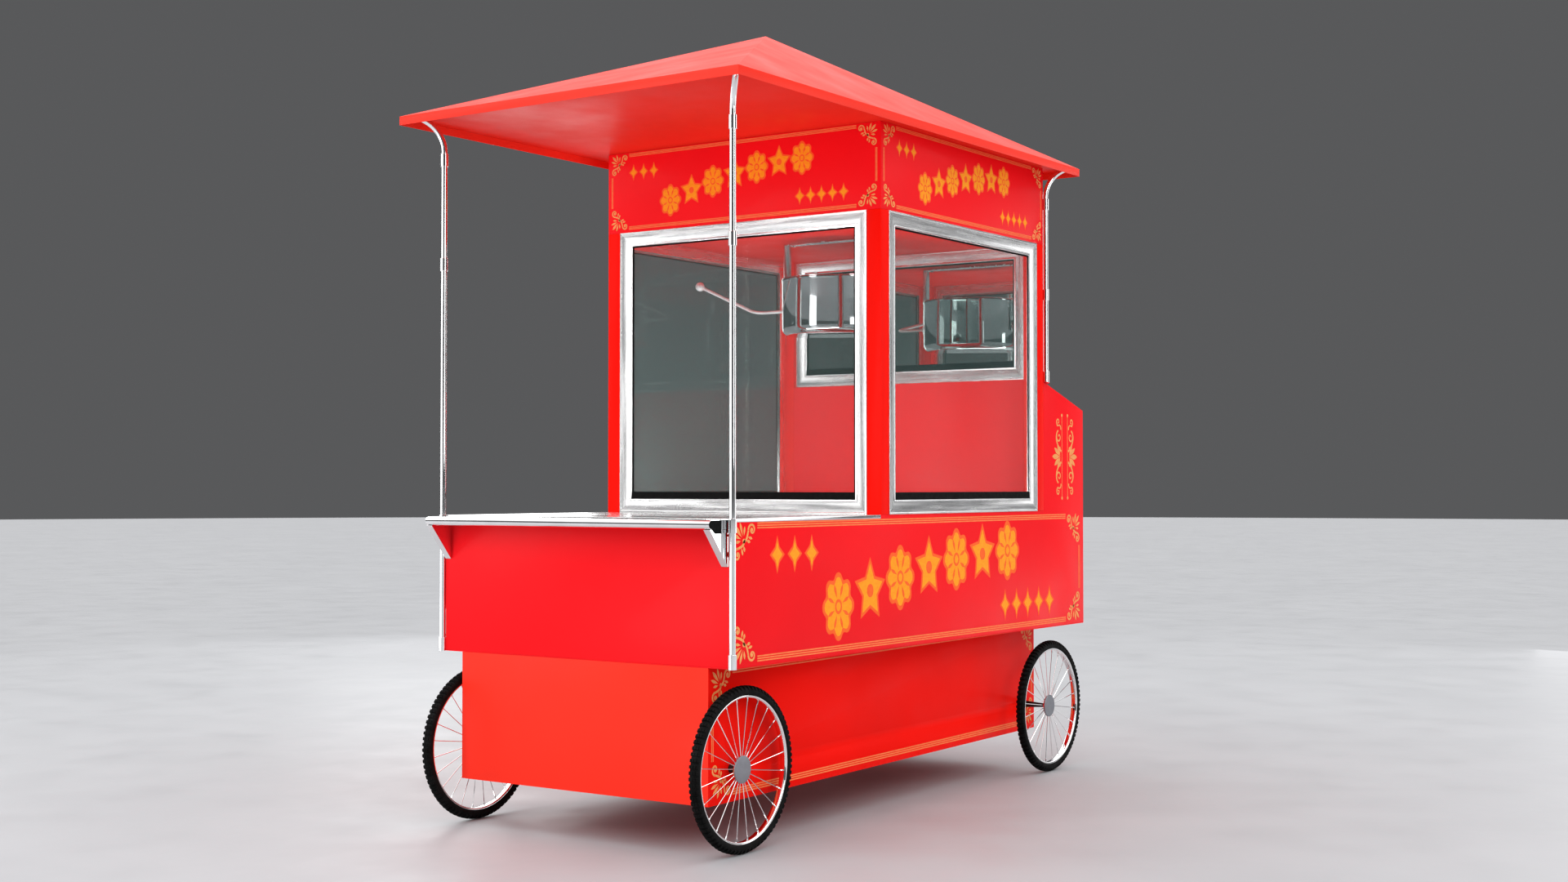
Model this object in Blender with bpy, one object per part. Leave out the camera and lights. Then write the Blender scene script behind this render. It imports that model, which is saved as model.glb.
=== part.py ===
"""Popcorn cart: chassis on four wheels, panelled body, glazed cabinet with a tilting kettle, hipped roof.

Frame: +X runs from the shelf end to the console end, +Y is the operator's side, +Z is up.
The ground is z = 0 and the origin is the middle of the footprint. Units are metres.
"""
import math

import bmesh
import bpy
from mathutils import Matrix, Vector

for old in list(bpy.data.objects):
    bpy.data.objects.remove(old, do_unlink=True)

# ---------------------------------------------------------------- driving dimensions
GAP = 0.0003                     # clearance between pieces that touch
SEGMENTS = 48                    # facets round a wheel or the kettle

WHEEL_RADIUS = 0.250             # 20 inch bicycle-type wheel
TYRE_HALF_WIDTH = 0.0165
RIM_OUTER = 0.2182
RIM_INNER = 0.2130
RIM_HALF_WIDTH = 0.0115
HUB_RADIUS = 0.0380
HUB_CAP_RADIUS = 0.0415
SPOKES = 24
SPOKE_RADIUS = 0.0014
SPINDLE_RADIUS = 0.0050
WHEEL_Y = 0.5365                 # mid-plane of each wheel
WHEEL_X = 1.006                  # axle distance from the origin, both ends

FRONT_X = -1.123                 # outer face of the front end panel
REAR_X = 1.2145                  # outer face of the console's rear panel
HALF_WIDTH = 0.583               # body and cabinet
FLOOR_Z = 0.558                  # underside of the body
COUNTER_Z = 1.000                # counter top and cabinet floor
PANEL = 0.003                    # sheet thickness of the body and cabinet

CHASSIS_REAR_X = 1.097
CHASSIS_FRONT_HALF = 0.498
CHASSIS_REAR_HALF = 0.425
CHASSIS_Z = 0.150
CHASSIS_WALL = 0.0025
AXLE_RADIUS = 0.013

CABINET_X0 = -0.291
SPLIT_X = -0.294                 # joint between the counter and the cabinet floor
CABINET_X1 = 0.877
POST_Y = 0.056                   # corner post size across the cart
POST_FRONT_X = 0.0475            # corner post size along the cart, front pair
POST_REAR_X = 0.056
SIGN_Z0 = 2.010
SIGN_Z1 = 2.2999

CONSOLE_Z0 = 1.4905              # top of the slope, at the cabinet
CONSOLE_Z1 = 1.3900              # bottom of the slope, at the rear

FRAME_BAND = 0.051               # visible width of a glazing frame
FRAME_REBATE = 0.008
FRAME_DEPTH = 0.0215
FRAME_PROUD = 0.003
GLASS = 0.006

ROOF_X0 = -1.2314
ROOF_X1 = 0.9813
ROOF_HALF_Y = 0.6854
ROOF_EAVE_Z0 = 2.2747
ROOF_EAVE_Z1 = 2.3032
ROOF_APEX_Z = 2.6903
ROOF_WALL = 0.002

TUBE_RADIUS = 0.010
COLLAR_RADIUS = 0.013
FRONT_TUBE_X = -1.124
REAR_TUBE_X = 0.8905
TUBE_Y = 0.587
BEND_START_Z = 2.190
BEND_RADIUS = 0.117

KETTLE_X = 0.327
KETTLE_Z = 1.757                 # trunnion axis
KETTLE_RADIUS = 0.200
KETTLE_BOTTOM = 1.655
KETTLE_TOP = 1.863
TRUNNION_RADIUS = 0.008

CORNER_NOTCH_X = 0.0125          # room for the front tubes at the body's corners
CORNER_NOTCH_Y = 0.0095

COLOURS = {
    "red": (0.80, 0.012, 0.016, 1.0),
    "signal_red": (0.85, 0.010, 0.006, 1.0),
    "roof_red": (0.86, 0.060, 0.040, 1.0),
    "chrome": (0.80, 0.80, 0.80, 1.0),
    "steel": (0.62, 0.62, 0.62, 1.0),
    "glass": (0.70, 0.80, 0.78, 0.35),
    "mirror": (0.80, 0.82, 0.82, 1.0),
    "tyre": (0.012, 0.012, 0.012, 1.0),
    "black": (0.010, 0.010, 0.010, 1.0),
}
SURFACES = {
    "red": (0.0, 0.22), "signal_red": (0.0, 0.25), "roof_red": (0.0, 0.35), "chrome": (1.0, 0.08),
    "steel": (1.0, 0.28), "glass": (0.0, 0.03), "mirror": (1.0, 0.03), "tyre": (0.0, 0.8),
    "black": (0.3, 0.4),
}


# ---------------------------------------------------------------- helpers
def material(key):
    name = "mat_" + key
    if name in bpy.data.materials:
        return bpy.data.materials[name]
    mat = bpy.data.materials.new(name)
    mat.use_nodes = True
    shader = mat.node_tree.nodes["Principled BSDF"]
    shader.inputs["Base Color"].default_value = COLOURS[key]
    shader.inputs["Metallic"].default_value = SURFACES[key][0]
    shader.inputs["Roughness"].default_value = SURFACES[key][1]
    mat.diffuse_color = COLOURS[key]
    return mat


def add(name, bm, key, origin=(0.0, 0.0, 0.0), smooth=None):
    """Turn a bmesh in world coordinates into an object whose origin is at the given point."""
    bmesh.ops.remove_doubles(bm, verts=bm.verts, dist=1e-6)
    bmesh.ops.recalc_face_normals(bm, faces=bm.faces)
    bmesh.ops.translate(bm, verts=bm.verts, vec=-Vector(origin))
    mesh = bpy.data.meshes.new(name)
    bm.to_mesh(mesh)
    bm.free()
    obj = bpy.data.objects.new(name, mesh)
    bpy.context.scene.collection.objects.link(obj)
    obj.location = origin
    if key:
        mesh.materials.append(material(key))
    if smooth:
        shade(obj, smooth)
    return obj


def shade(obj, angle=30.0):
    mesh = obj.data
    limit = math.radians(angle)
    bm = bmesh.new()
    bm.from_mesh(mesh)
    for face in bm.faces:
        face.smooth = True
    for edge in bm.edges:
        if len(edge.link_faces) == 2 and edge.calc_face_angle(0.0) > limit:
            edge.smooth = False
    bm.to_mesh(mesh)
    bm.free()


def box_into(bm, x0, x1, y0, y1, z0, z1):
    corners = []
    for z in (z0, z1):
        for x, y in ((x0, y0), (x1, y0), (x1, y1), (x0, y1)):
            corners.append(bm.verts.new((x, y, z)))
    for quad in ((3, 2, 1, 0), (4, 5, 6, 7), (0, 1, 5, 4), (1, 2, 6, 5), (2, 3, 7, 6), (3, 0, 4, 7)):
        bm.faces.new([corners[i] for i in quad])


def box(name, x0, x1, y0, y1, z0, z1, key):
    bm = bmesh.new()
    box_into(bm, x0, x1, y0, y1, z0, z1)
    return add(name, bm, key)


def place(axis, u, v, w):
    """A point from in-plane coordinates (u, v) and a coordinate w along the axis."""
    if axis == "X":
        return (w, u, v)
    if axis == "Y":
        return (u, w, v)
    return (u, v, w)


def prism_into(bm, outline, axis, low, high):
    first = [bm.verts.new(place(axis, u, v, low)) for u, v in outline]
    second = [bm.verts.new(place(axis, u, v, high)) for u, v in outline]
    count = len(outline)
    bm.faces.new(first)
    bm.faces.new(list(reversed(second)))
    for i in range(count):
        j = (i + 1) % count
        bm.faces.new([first[i], second[i], second[j], first[j]])


def prism(name, outline, axis, low, high, key, origin=(0.0, 0.0, 0.0), smooth=None):
    bm = bmesh.new()
    prism_into(bm, outline, axis, low, high)
    return add(name, bm, key, origin, smooth)


def lathe_into(bm, profile, axis, centre, segments=SEGMENTS, turn=0.5):
    """Turn a closed profile of (radius, height) about an axis through the centre.

    turn is the angular offset in segments: 0.5 puts a flat facet at the bottom.
    """
    rings = []
    for i in range(segments):
        angle = 2.0 * math.pi * (i + turn) / segments
        c = math.cos(angle)
        s = math.sin(angle)
        ring = []
        for radius, height in profile:
            if axis == "Y":
                point = (centre[0] + radius * c, centre[1] + height, centre[2] + radius * s)
            elif axis == "X":
                point = (centre[0] + height, centre[1] + radius * c, centre[2] + radius * s)
            else:
                point = (centre[0] + radius * c, centre[1] + radius * s, centre[2] + height)
            ring.append(bm.verts.new(point))
        rings.append(ring)
    count = len(profile)
    for i in range(segments):
        here = rings[i]
        there = rings[(i + 1) % segments]
        for k in range(count):
            m = (k + 1) % count
            if profile[k][0] == 0.0 and profile[m][0] == 0.0:
                continue
            bm.faces.new([here[k], there[k], there[m], here[m]])
    bmesh.ops.remove_doubles(bm, verts=bm.verts, dist=1e-6)
    flat = [f for f in bm.faces if f.calc_area() < 1e-12]
    bmesh.ops.delete(bm, geom=flat, context="FACES_ONLY")


def lathe(name, profile, axis, centre, key, segments=SEGMENTS, turn=0.5, origin=None, smooth=30.0):
    bm = bmesh.new()
    lathe_into(bm, profile, axis, centre, segments, turn)
    return add(name, bm, key, origin if origin is not None else (0.0, 0.0, 0.0), smooth)


def tube_into(bm, points, radii, sides=16):
    """Sweep a circle through the points; radii gives one radius per point."""
    path = [Vector(p) for p in points]
    count = len(path)
    tangents = []
    for i in range(count):
        if i == 0:
            direction = path[1] - path[0]
        elif i == count - 1:
            direction = path[-1] - path[-2]
        else:
            direction = (path[i + 1] - path[i]).normalized() + (path[i] - path[i - 1]).normalized()
        tangents.append(direction.normalized())
    normal = tangents[0].orthogonal().normalized()
    rings = []
    for i in range(count):
        normal = (normal - tangents[i] * normal.dot(tangents[i])).normalized()
        side = tangents[i].cross(normal)
        ring = []
        for k in range(sides):
            angle = 2.0 * math.pi * k / sides
            offset = (normal * math.cos(angle) + side * math.sin(angle)) * radii[i]
            ring.append(bm.verts.new(path[i] + offset))
        rings.append(ring)
    bm.faces.new(rings[0])
    bm.faces.new(list(reversed(rings[-1])))
    for i in range(count - 1):
        for k in range(sides):
            m = (k + 1) % sides
            bm.faces.new([rings[i][k], rings[i + 1][k], rings[i + 1][m], rings[i][m]])


def boolean(target, tool, operation="DIFFERENCE"):
    """Apply a boolean and drop the tool."""
    mod = target.modifiers.new("cut", "BOOLEAN")
    mod.operation = operation
    mod.solver = "EXACT"
    mod.object = tool
    bpy.context.view_layer.update()
    graph = bpy.context.evaluated_depsgraph_get()
    result = bpy.data.meshes.new_from_object(target.evaluated_get(graph))
    target.modifiers.clear()
    old = target.data
    target.data = result
    bpy.data.meshes.remove(old)
    bpy.data.objects.remove(tool, do_unlink=True)
    return target


def box_tool(x0, x1, y0, y1, z0, z1):
    return box("tool", x0, x1, y0, y1, z0, z1, None)


def rod_tool(axis, centre, radius, low, high, segments=24, turn=0.5):
    bm = bmesh.new()
    lathe_into(bm, [(0.0, low), (radius, low), (radius, high), (0.0, high)], axis, centre, segments, turn)
    return add("tool", bm, None)


# ---------------------------------------------------------------- chassis and running gear
def chassis_half(x):
    share = (x - FRONT_X) / (CHASSIS_REAR_X - FRONT_X)
    return CHASSIS_FRONT_HALF + share * (CHASSIS_REAR_HALF - CHASSIS_FRONT_HALF)


def chassis():
    a = CHASSIS_FRONT_HALF
    b = CHASSIS_REAR_HALF
    w = CHASSIS_WALL
    outer = [(FRONT_X, -a), (CHASSIS_REAR_X, -b), (CHASSIS_REAR_X, b), (FRONT_X, a)]
    inner = [(FRONT_X + w, w - a), (CHASSIS_REAR_X - w, w - b),
             (CHASSIS_REAR_X - w, b - w), (FRONT_X + w, a - w)]
    obj = prism("chassis", outer, "Z", CHASSIS_Z, FLOOR_Z - GAP, "signal_red")
    boolean(obj, prism("tool", inner, "Z", CHASSIS_Z + w, FLOOR_Z + 0.05, None))
    for x in (-WHEEL_X, WHEEL_X):
        hole = rod_tool("Y", (x, 0.0, WHEEL_RADIUS), AXLE_RADIUS + 0.0005, -0.6, 0.6, 24)
        boolean(obj, hole)
    return obj


def axle(name, x):
    """Cross axle: a bar through the chassis, a cone outside each wall and a spindle for each wheel."""
    wall = chassis_half(x) + 0.004
    inner_hub = WHEEL_Y - 0.0165
    end = WHEEL_Y - 0.0005
    side = [(AXLE_RADIUS, wall), (0.0070, inner_hub - 0.0020), (0.0070, inner_hub - GAP),
            (SPINDLE_RADIUS, inner_hub - GAP), (SPINDLE_RADIUS, end), (0.0, end)]
    profile = [(r, -y) for r, y in reversed(side)] + side
    return lathe(name, profile, "Y", (x, 0.0, WHEEL_RADIUS), "black", 24, smooth=25.0)


def tyre(name, x, y):
    outer = WHEEL_RADIUS / math.cos(math.pi / SEGMENTS)
    mid = outer - TYRE_HALF_WIDTH
    inner = RIM_OUTER + GAP
    half = TYRE_HALF_WIDTH
    profile = [(inner, -0.009), (inner, 0.009), (inner + 0.005, 0.0125),
               (mid - 0.004, half - 0.0006), (mid, half)]
    for k in range(1, 6):
        angle = math.radians(90.0 - 30.0 * k)
        profile.append((mid + half * math.cos(angle), half * math.sin(angle)))
    profile.append((mid, -half))
    profile.append((mid - 0.004, 0.0006 - half))
    profile.append((inner + 0.005, -0.0125))
    return lathe(name, profile, "Y", (x, y, WHEEL_RADIUS), "tyre", SEGMENTS, 0.5, (x, y, WHEEL_RADIUS))


def wheel(name, x, y):
    """Hub, spokes and rim in one piece, with the round cap that covers the hub outside."""
    out = 1.0 if y > 0.0 else -1.0
    centre = (x, y, WHEEL_RADIUS)
    half = RIM_HALF_WIDTH
    rim = [(RIM_INNER, -half + 0.003), (RIM_INNER, half - 0.003), (RIM_INNER + 0.002, half),
           (RIM_OUTER, half), (RIM_OUTER, -half), (RIM_INNER + 0.002, -half)]
    obj = lathe(name, rim, "Y", centre, "chrome", SEGMENTS, 0.5, centre)
    inside = -0.0165 * out
    face = 0.0010 * out
    cap = 0.0040 * out
    bore = SPINDLE_RADIUS + 0.00012
    hub = [(bore, inside), (0.016, inside), (0.016, inside + 0.004 * out), (HUB_RADIUS, -0.006 * out),
           (HUB_RADIUS, face), (HUB_CAP_RADIUS, face), (HUB_CAP_RADIUS, 0.6 * cap + 0.4 * face),
           (0.030, cap), (0.0, cap), (0.0, face), (bore, face)]
    bm = bmesh.new()
    for k in range(SPOKES):
        angle = 2.0 * math.pi * (k + 0.5) / SPOKES
        c = math.cos(angle)
        s = math.sin(angle)
        shift = -0.0045 * out if k % 2 else -0.0015 * out
        root = (x + 0.034 * c, y + shift, WHEEL_RADIUS + 0.034 * s)
        tip = (x + 0.2150 * c, y, WHEEL_RADIUS + 0.2150 * s)
        tube_into(bm, [root, tip], [SPOKE_RADIUS, SPOKE_RADIUS], 6)
    spokes = add("tool", bm, None)
    boolean(obj, spokes, "UNION")
    boolean(obj, lathe("tool", hub, "Y", centre, None, 24, 0.5, centre), "UNION")
    shade(obj, 35.0)
    return obj


# ---------------------------------------------------------------- body
def notch_corners(obj, low, high):
    for side in (-1.0, 1.0):
        y_in = side * (HALF_WIDTH - CORNER_NOTCH_Y)
        y_out = side * (HALF_WIDTH + 0.02)
        tool = box_tool(FRONT_X - 0.02, FRONT_X + CORNER_NOTCH_X,
                        min(y_in, y_out), max(y_in, y_out), low, high)
        boolean(obj, tool)
    return obj


def body():
    obj = box("body_floor", FRONT_X, REAR_X, -HALF_WIDTH, HALF_WIDTH, FLOOR_Z, FLOOR_Z + PANEL, "red")
    notch_corners(obj, FLOOR_Z - 0.01, FLOOR_Z + 0.03)
    base = FLOOR_Z + PANEL + GAP
    under_counter = COUNTER_Z - 0.0125
    inside = HALF_WIDTH - PANEL - GAP
    notch_y = HALF_WIDTH - CORNER_NOTCH_Y
    box("front_panel", FRONT_X, FRONT_X + PANEL, -notch_y, notch_y, base, under_counter, "red")
    outline = [(FRONT_X + CORNER_NOTCH_X, base), (REAR_X, base), (REAR_X, CONSOLE_Z1),
               (CABINET_X1 + GAP, CONSOLE_Z0), (CABINET_X1 + GAP, COUNTER_Z), (SPLIT_X, COUNTER_Z),
               (SPLIT_X, under_counter), (FRONT_X + CORNER_NOTCH_X, under_counter)]
    near = prism("side_panel_near", outline, "Y", -HALF_WIDTH, -HALF_WIDTH + PANEL, "red")
    far = prism("side_panel_far", outline, "Y", HALF_WIDTH - PANEL, HALF_WIDTH, "red")
    fold = FRONT_X + CORNER_NOTCH_X
    tip = FRONT_X + PANEL + GAP
    for panel, side in ((near, -1.0), (far, 1.0)):
        joggle = [(fold, side * (HALF_WIDTH - 0.5 * PANEL)),
                  (fold + PANEL, side * (HALF_WIDTH - 0.5 * PANEL)),
                  (fold + PANEL, side * (notch_y - PANEL)), (tip, side * (notch_y - PANEL)),
                  (tip, side * notch_y), (fold, side * notch_y)]
        boolean(panel, prism("tool", joggle, "Z", base, under_counter, None), "UNION")
    top = CABINET_X1 + 2.0 * GAP
    plate = PANEL
    slope = [(top, CONSOLE_Z0 - GAP - plate), (REAR_X, CONSOLE_Z1 - plate),
             (REAR_X, CONSOLE_Z1), (top, CONSOLE_Z0 - GAP)]
    prism("console_top", slope, "Y", -inside, inside, "red")
    box("console_rear_panel", REAR_X - PANEL, REAR_X, -inside, inside,
        base, CONSOLE_Z1 - plate - GAP, "red")
    counter = box("counter_top", FRONT_X, SPLIT_X - GAP, -HALF_WIDTH, HALF_WIDTH,
                  COUNTER_Z - 0.0122, COUNTER_Z, "steel")
    notch_corners(counter, COUNTER_Z - 0.03, COUNTER_Z + 0.01)
    rim = 0.0165
    boolean(counter, box_tool(FRONT_X + rim, SPLIT_X - rim, rim - HALF_WIDTH, HALF_WIDTH - rim,
                              COUNTER_Z - 0.03, COUNTER_Z - 0.002))
    box("cabinet_floor", SPLIT_X, CABINET_X1, -inside, inside, COUNTER_Z - PANEL, COUNTER_Z, "steel")


def shelf():
    """Bull-nosed board across the front end, with a wedge gusset welded under each end."""
    back = FRONT_X - GAP
    nose = FRONT_X - 0.096
    z0 = 0.968
    z1 = 0.996
    r = 0.5 * (z1 - z0)
    outline = [(back, z0), (back, z1)]
    for k in range(9):
        angle = math.radians(90.0 + 22.5 * k)
        outline.append((nose + r + r * math.cos(angle), z0 + r + r * math.sin(angle)))
    end = 0.572
    obj = prism("front_shelf", outline, "Y", -end, end, "chrome")
    boolean(obj, box_tool(nose + 0.018, back - 0.003, 0.027 - end, end - 0.027, z0 - 0.01, z1 - 0.003))
    wedge = [(back, 0.9800), (back, 0.8575), (back - 0.002, 0.8575),
             (nose + 0.0030, 0.9720), (nose + 0.006, 0.9800)]
    for low, high in ((-end, 0.024 - end), (end - 0.024, end)):
        boolean(obj, prism("tool", wedge, "Y", low, high, None), "UNION")
    shade(obj, 25.0)
    return obj


# ---------------------------------------------------------------- cabinet
def corner_posts():
    z0 = COUNTER_Z + GAP
    z1 = SIGN_Z0
    for name, side in (("near", -1.0), ("far", 1.0)):
        y0, y1 = sorted((side * (HALF_WIDTH - POST_Y), side * HALF_WIDTH))
        for end, x0, x1 in (("front", CABINET_X0, CABINET_X0 + POST_FRONT_X),
                            ("rear", CABINET_X1 - POST_REAR_X, CABINET_X1)):
            post = box("corner_post_%s_%s" % (end, name), x0, x1, y0, y1, z0, z1, "signal_red")
            w = PANEL
            boolean(post, box_tool(x0 + w, x1 - w, y0 + w, y1 - w, z0 - 0.01, z1 - w))


def sign_and_ceiling():
    z0 = SIGN_Z0 + GAP
    z1 = SIGN_Z1
    inside = HALF_WIDTH - PANEL - GAP
    x_in = CABINET_X0 + PANEL + GAP
    box("sign_front", CABINET_X0, CABINET_X0 + PANEL, -HALF_WIDTH, HALF_WIDTH, z0, z1, "red")
    box("sign_near", x_in, CABINET_X1, -HALF_WIDTH, -HALF_WIDTH + PANEL, z0, z1, "red")
    box("sign_far", x_in, CABINET_X1, HALF_WIDTH - PANEL, HALF_WIDTH, z0, z1, "red")
    box("sign_rear", CABINET_X1 - PANEL, CABINET_X1, -inside, inside, z0, z1, "red")
    box("cabinet_ceiling", x_in, CABINET_X1 - PANEL - GAP, -inside, inside, z0, z0 + PANEL, "red")


def glazing_frame(name, axis, face, inward, u0, u1, v0, v1, key="chrome"):
    """Rectangular frame with a rebate for the pane, seen from its outer face.

    face is the outer face's coordinate along the axis and inward its direction into the cabinet.
    """
    band = FRAME_BAND
    split = 0.0130 + 2.0 * GAP
    low, high = sorted((face, face + inward * FRAME_DEPTH))
    obj = prism(name, [(u0, v0), (u1, v0), (u1, v1), (u0, v1)], axis, low, high, key)
    i0, i1, j0, j1 = u0 + band, u1 - band, v0 + band - 0.008, v1 - band + 0.005
    low, high = sorted((face - inward * 0.01, face + inward * (FRAME_DEPTH + 0.01)))
    boolean(obj, prism("tool", [(i0, j0), (i1, j0), (i1, j1), (i0, j1)], axis, low, high, None))
    r = FRAME_REBATE
    low, high = sorted((face + inward * split, face + inward * (FRAME_DEPTH + 0.01)))
    wide = [(i0 - r, j0 - r), (i1 + r, j0 - r), (i1 + r, j1 + r), (i0 - r, j1 + r)]
    boolean(obj, prism("tool", wide, axis, low, high, None))
    lip = 0.004
    low, high = sorted((face + inward * lip, face + inward * (FRAME_DEPTH + 0.01)))
    groove = prism("groove", [(u0 + lip, v0 + lip), (u1 - lip, v0 + lip),
                              (u1 - lip, v1 - lip), (u0 + lip, v1 - lip)],
                   axis, low, high, None)
    i0r, i1r, j0r, j1r = i0 - r - lip, i1 + r + lip, j0 - r - lip, j1 + r + lip
    low, high = sorted((face - inward * 0.01, face + inward * (FRAME_DEPTH + 0.02)))
    tool = prism("tool", [(i0r, j0r), (i1r, j0r), (i1r, j1r), (i0r, j1r)], axis, low, high, None)
    boolean(groove, tool)
    boolean(obj, groove)
    return obj, (i0, i1, j0, j1, split)


def pane(name, axis, face, inward, opening, key="glass"):
    i0, i1, j0, j1, split = opening
    r = FRAME_REBATE - GAP
    low, high = sorted((face + inward * (split + GAP), face + inward * (split + GAP + GLASS)))
    outline = [(i0 - r, j0 - r), (i1 + r, j0 - r), (i1 + r, j1 + r), (i0 - r, j1 + r)]
    return prism(name, outline, axis, low, high, key)


def cabinet_glazing():
    z0 = COUNTER_Z + GAP
    z1 = SIGN_Z0
    half = HALF_WIDTH - POST_Y - GAP
    x0 = CABINET_X0 + POST_FRONT_X + GAP
    x1 = CABINET_X1 - POST_REAR_X - GAP
    face = CABINET_X0 - FRAME_PROUD
    _, hole = glazing_frame("front_frame", "X", face, 1.0, -half, half, z0, z1)
    pane("front_glass", "X", face, 1.0, hole)
    face = -HALF_WIDTH - FRAME_PROUD
    _, hole = glazing_frame("near_frame", "Y", face, 1.0, x0, x1, z0, z1)
    pane("near_glass", "Y", face, 1.0, hole)
    z_rear = 1.4978
    front = CABINET_X1 - POST_REAR_X
    back = CABINET_X1 - PANEL
    box("rear_panel", back, CABINET_X1, -half, half, z0, z1, "red")
    ledge = [(front, z0), (front + PANEL, z0), (front + PANEL, z_rear - GAP - PANEL),
             (back - GAP, z_rear - GAP - PANEL), (back - GAP, z_rear - GAP), (front, z_rear - GAP)]
    prism("rear_wall", ledge, "Y", -half, half, "red")
    face = CABINET_X1 - 0.044
    _, hole = glazing_frame("rear_frame", "X", face, 1.0, -half, half, z_rear, z1)
    pane("rear_mirror", "X", face, 1.0, hole, "mirror")


HINGE_AXIS = (0.8230, 0.5915)


def far_door():
    """The operator's door: a glazed frame hung on the far rear corner post."""
    x0 = CABINET_X0 + POST_FRONT_X + 0.0015
    x1 = CABINET_X1 - POST_REAR_X - 0.0015
    z0 = COUNTER_Z + 0.0018
    z1 = SIGN_Z0 - 0.0015
    face = HALF_WIDTH + FRAME_PROUD
    frame, hole = glazing_frame("door_frame", "Y", face, -1.0, x0, x1, z0, z1)
    glass = pane("door_glass", "Y", face, -1.0, hole)
    hx, hy = HINGE_AXIS
    for z in (1.14, 1.87):
        knuckle = [(hx - 0.020, face - 0.003), (hx - 0.0052, face - 0.003),
                   (hx, hy - 0.0052), (hx, hy + 0.0052),
                   (hx - 0.0035, hy + 0.004), (hx - 0.008, face + 0.0022), (hx - 0.020, face + 0.0022)]
        boolean(frame, prism("tool", knuckle, "Z", z - 0.0145, z + 0.0145, None), "UNION")
        barrel = rod_tool("Z", (hx, hy, z), 0.0052, -0.0145, 0.0145, 16)
        boolean(frame, barrel, "UNION")
        boolean(frame, rod_tool("Z", (hx, hy, z), 0.0026, -0.03, 0.03, 16))
    for obj in (frame, glass):
        move_origin(obj, (hx, hy, 0.0))
    for name, z in (("door_hinge_lower", 1.14), ("door_hinge_upper", 1.87)):
        hinge(name, hx, hy, z)
    pull = [(0.0, 0.0), (0.0045, 0.0), (0.0045, 0.016), (0.011, 0.019), (0.012, 0.025), (0.009, 0.029),
            (0.0, 0.030)]
    knob = lathe("door_knob", pull, "Y", (x0 + 0.024, face + GAP, 1.50), "chrome", 20)
    move_origin(knob, (hx, hy, 0.0))


def hinge(name, hx, hy, z):
    """Fixed half of a hinge: a leaf on the corner post, two knuckles and the pin between them."""
    post = HALF_WIDTH + GAP
    leaf = [(hx, hy - 0.0052), (hx + 0.0052, post), (hx + 0.028, post), (hx + 0.028, post + 0.0022),
            (hx + 0.008, post + 0.0022), (hx + 0.0035, hy + 0.004), (hx, hy + 0.0052)]
    bm = bmesh.new()
    prism_into(bm, leaf, "Z", z - 0.030, z + 0.030)
    obj = add(name, bm, "chrome")
    clear = box_tool(hx - 0.02, hx + 0.0056, hy - 0.02, hy + 0.02, z - 0.0148, z + 0.0148)
    boolean(obj, clear)
    for low, high in ((-0.030, -0.0148), (0.0148, 0.030)):
        boolean(obj, rod_tool("Z", (hx, hy, z), 0.0052, low, high, 16), "UNION")
    boolean(obj, rod_tool("Z", (hx, hy, z), 0.0025, -0.020, 0.020, 16), "UNION")
    return obj


def move_origin(obj, point):
    shift = Vector(point) - obj.location
    obj.data.transform(Matrix.Translation(-shift))
    obj.location = point


# ---------------------------------------------------------------- kettle
def kettle():
    centre = (KETTLE_X, 0.0, 0.0)
    pivot = (KETTLE_X, 0.0, KETTLE_Z)
    r = KETTLE_RADIUS
    w = 0.003
    outer = [(0.0, KETTLE_BOTTOM), (r - 0.028, KETTLE_BOTTOM)]
    inner = []
    for k in range(1, 6):
        angle = math.radians(18.0 * k)
        outer.append((r - 0.028 + 0.028 * math.sin(angle),
                      KETTLE_BOTTOM + 0.028 - 0.028 * math.cos(angle)))
    outer.append((r, KETTLE_TOP))
    inner.append((r - w, KETTLE_TOP))
    for k in range(5, 0, -1):
        angle = math.radians(18.0 * k)
        inner.append((r - 0.028 + 0.025 * math.sin(angle),
                      KETTLE_BOTTOM + 0.028 - 0.025 * math.cos(angle)))
    inner.append((r - 0.028, KETTLE_BOTTOM + w))
    inner.append((0.0, KETTLE_BOTTOM + w))
    pot = lathe("kettle_pot", outer + inner, "Z", centre, "chrome", SEGMENTS, 0.5, pivot)
    for side in (-1.0, 1.0):
        boss = [(0.0, r - 0.0018), (0.018, r - 0.0018), (0.018, r + 0.012), (TRUNNION_RADIUS, r + 0.012),
                (TRUNNION_RADIUS, r + 0.0235), (0.0, r + 0.0235)]
        tool = lathe("tool", [(a, side * b) for a, b in boss], "Y", (KETTLE_X, 0.0, KETTLE_Z), None, 24)
        boolean(pot, tool, "UNION")
    shade(pot, 30.0)
    kettle_yoke()
    kettle_handle()
    kettle_cover(centre, pivot)


def kettle_yoke():
    half = 0.0225
    top = SIGN_Z0
    low = KETTLE_Z - 0.024
    outline = []
    inner = KETTLE_RADIUS + 0.0150
    outer = KETTLE_RADIUS + 0.0200
    outline = [(-outer, low), (-inner, low), (-inner, top - 0.005), (inner, top - 0.005), (inner, low),
               (outer, low), (outer, top), (-outer, top)]
    obj = prism("kettle_yoke", outline, "X", KETTLE_X - half, KETTLE_X + half, "steel")
    boolean(obj, rod_tool("Y", (KETTLE_X, 0.0, KETTLE_Z), TRUNNION_RADIUS + 0.00012, -0.3, 0.3, 24))
    return obj


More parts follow.
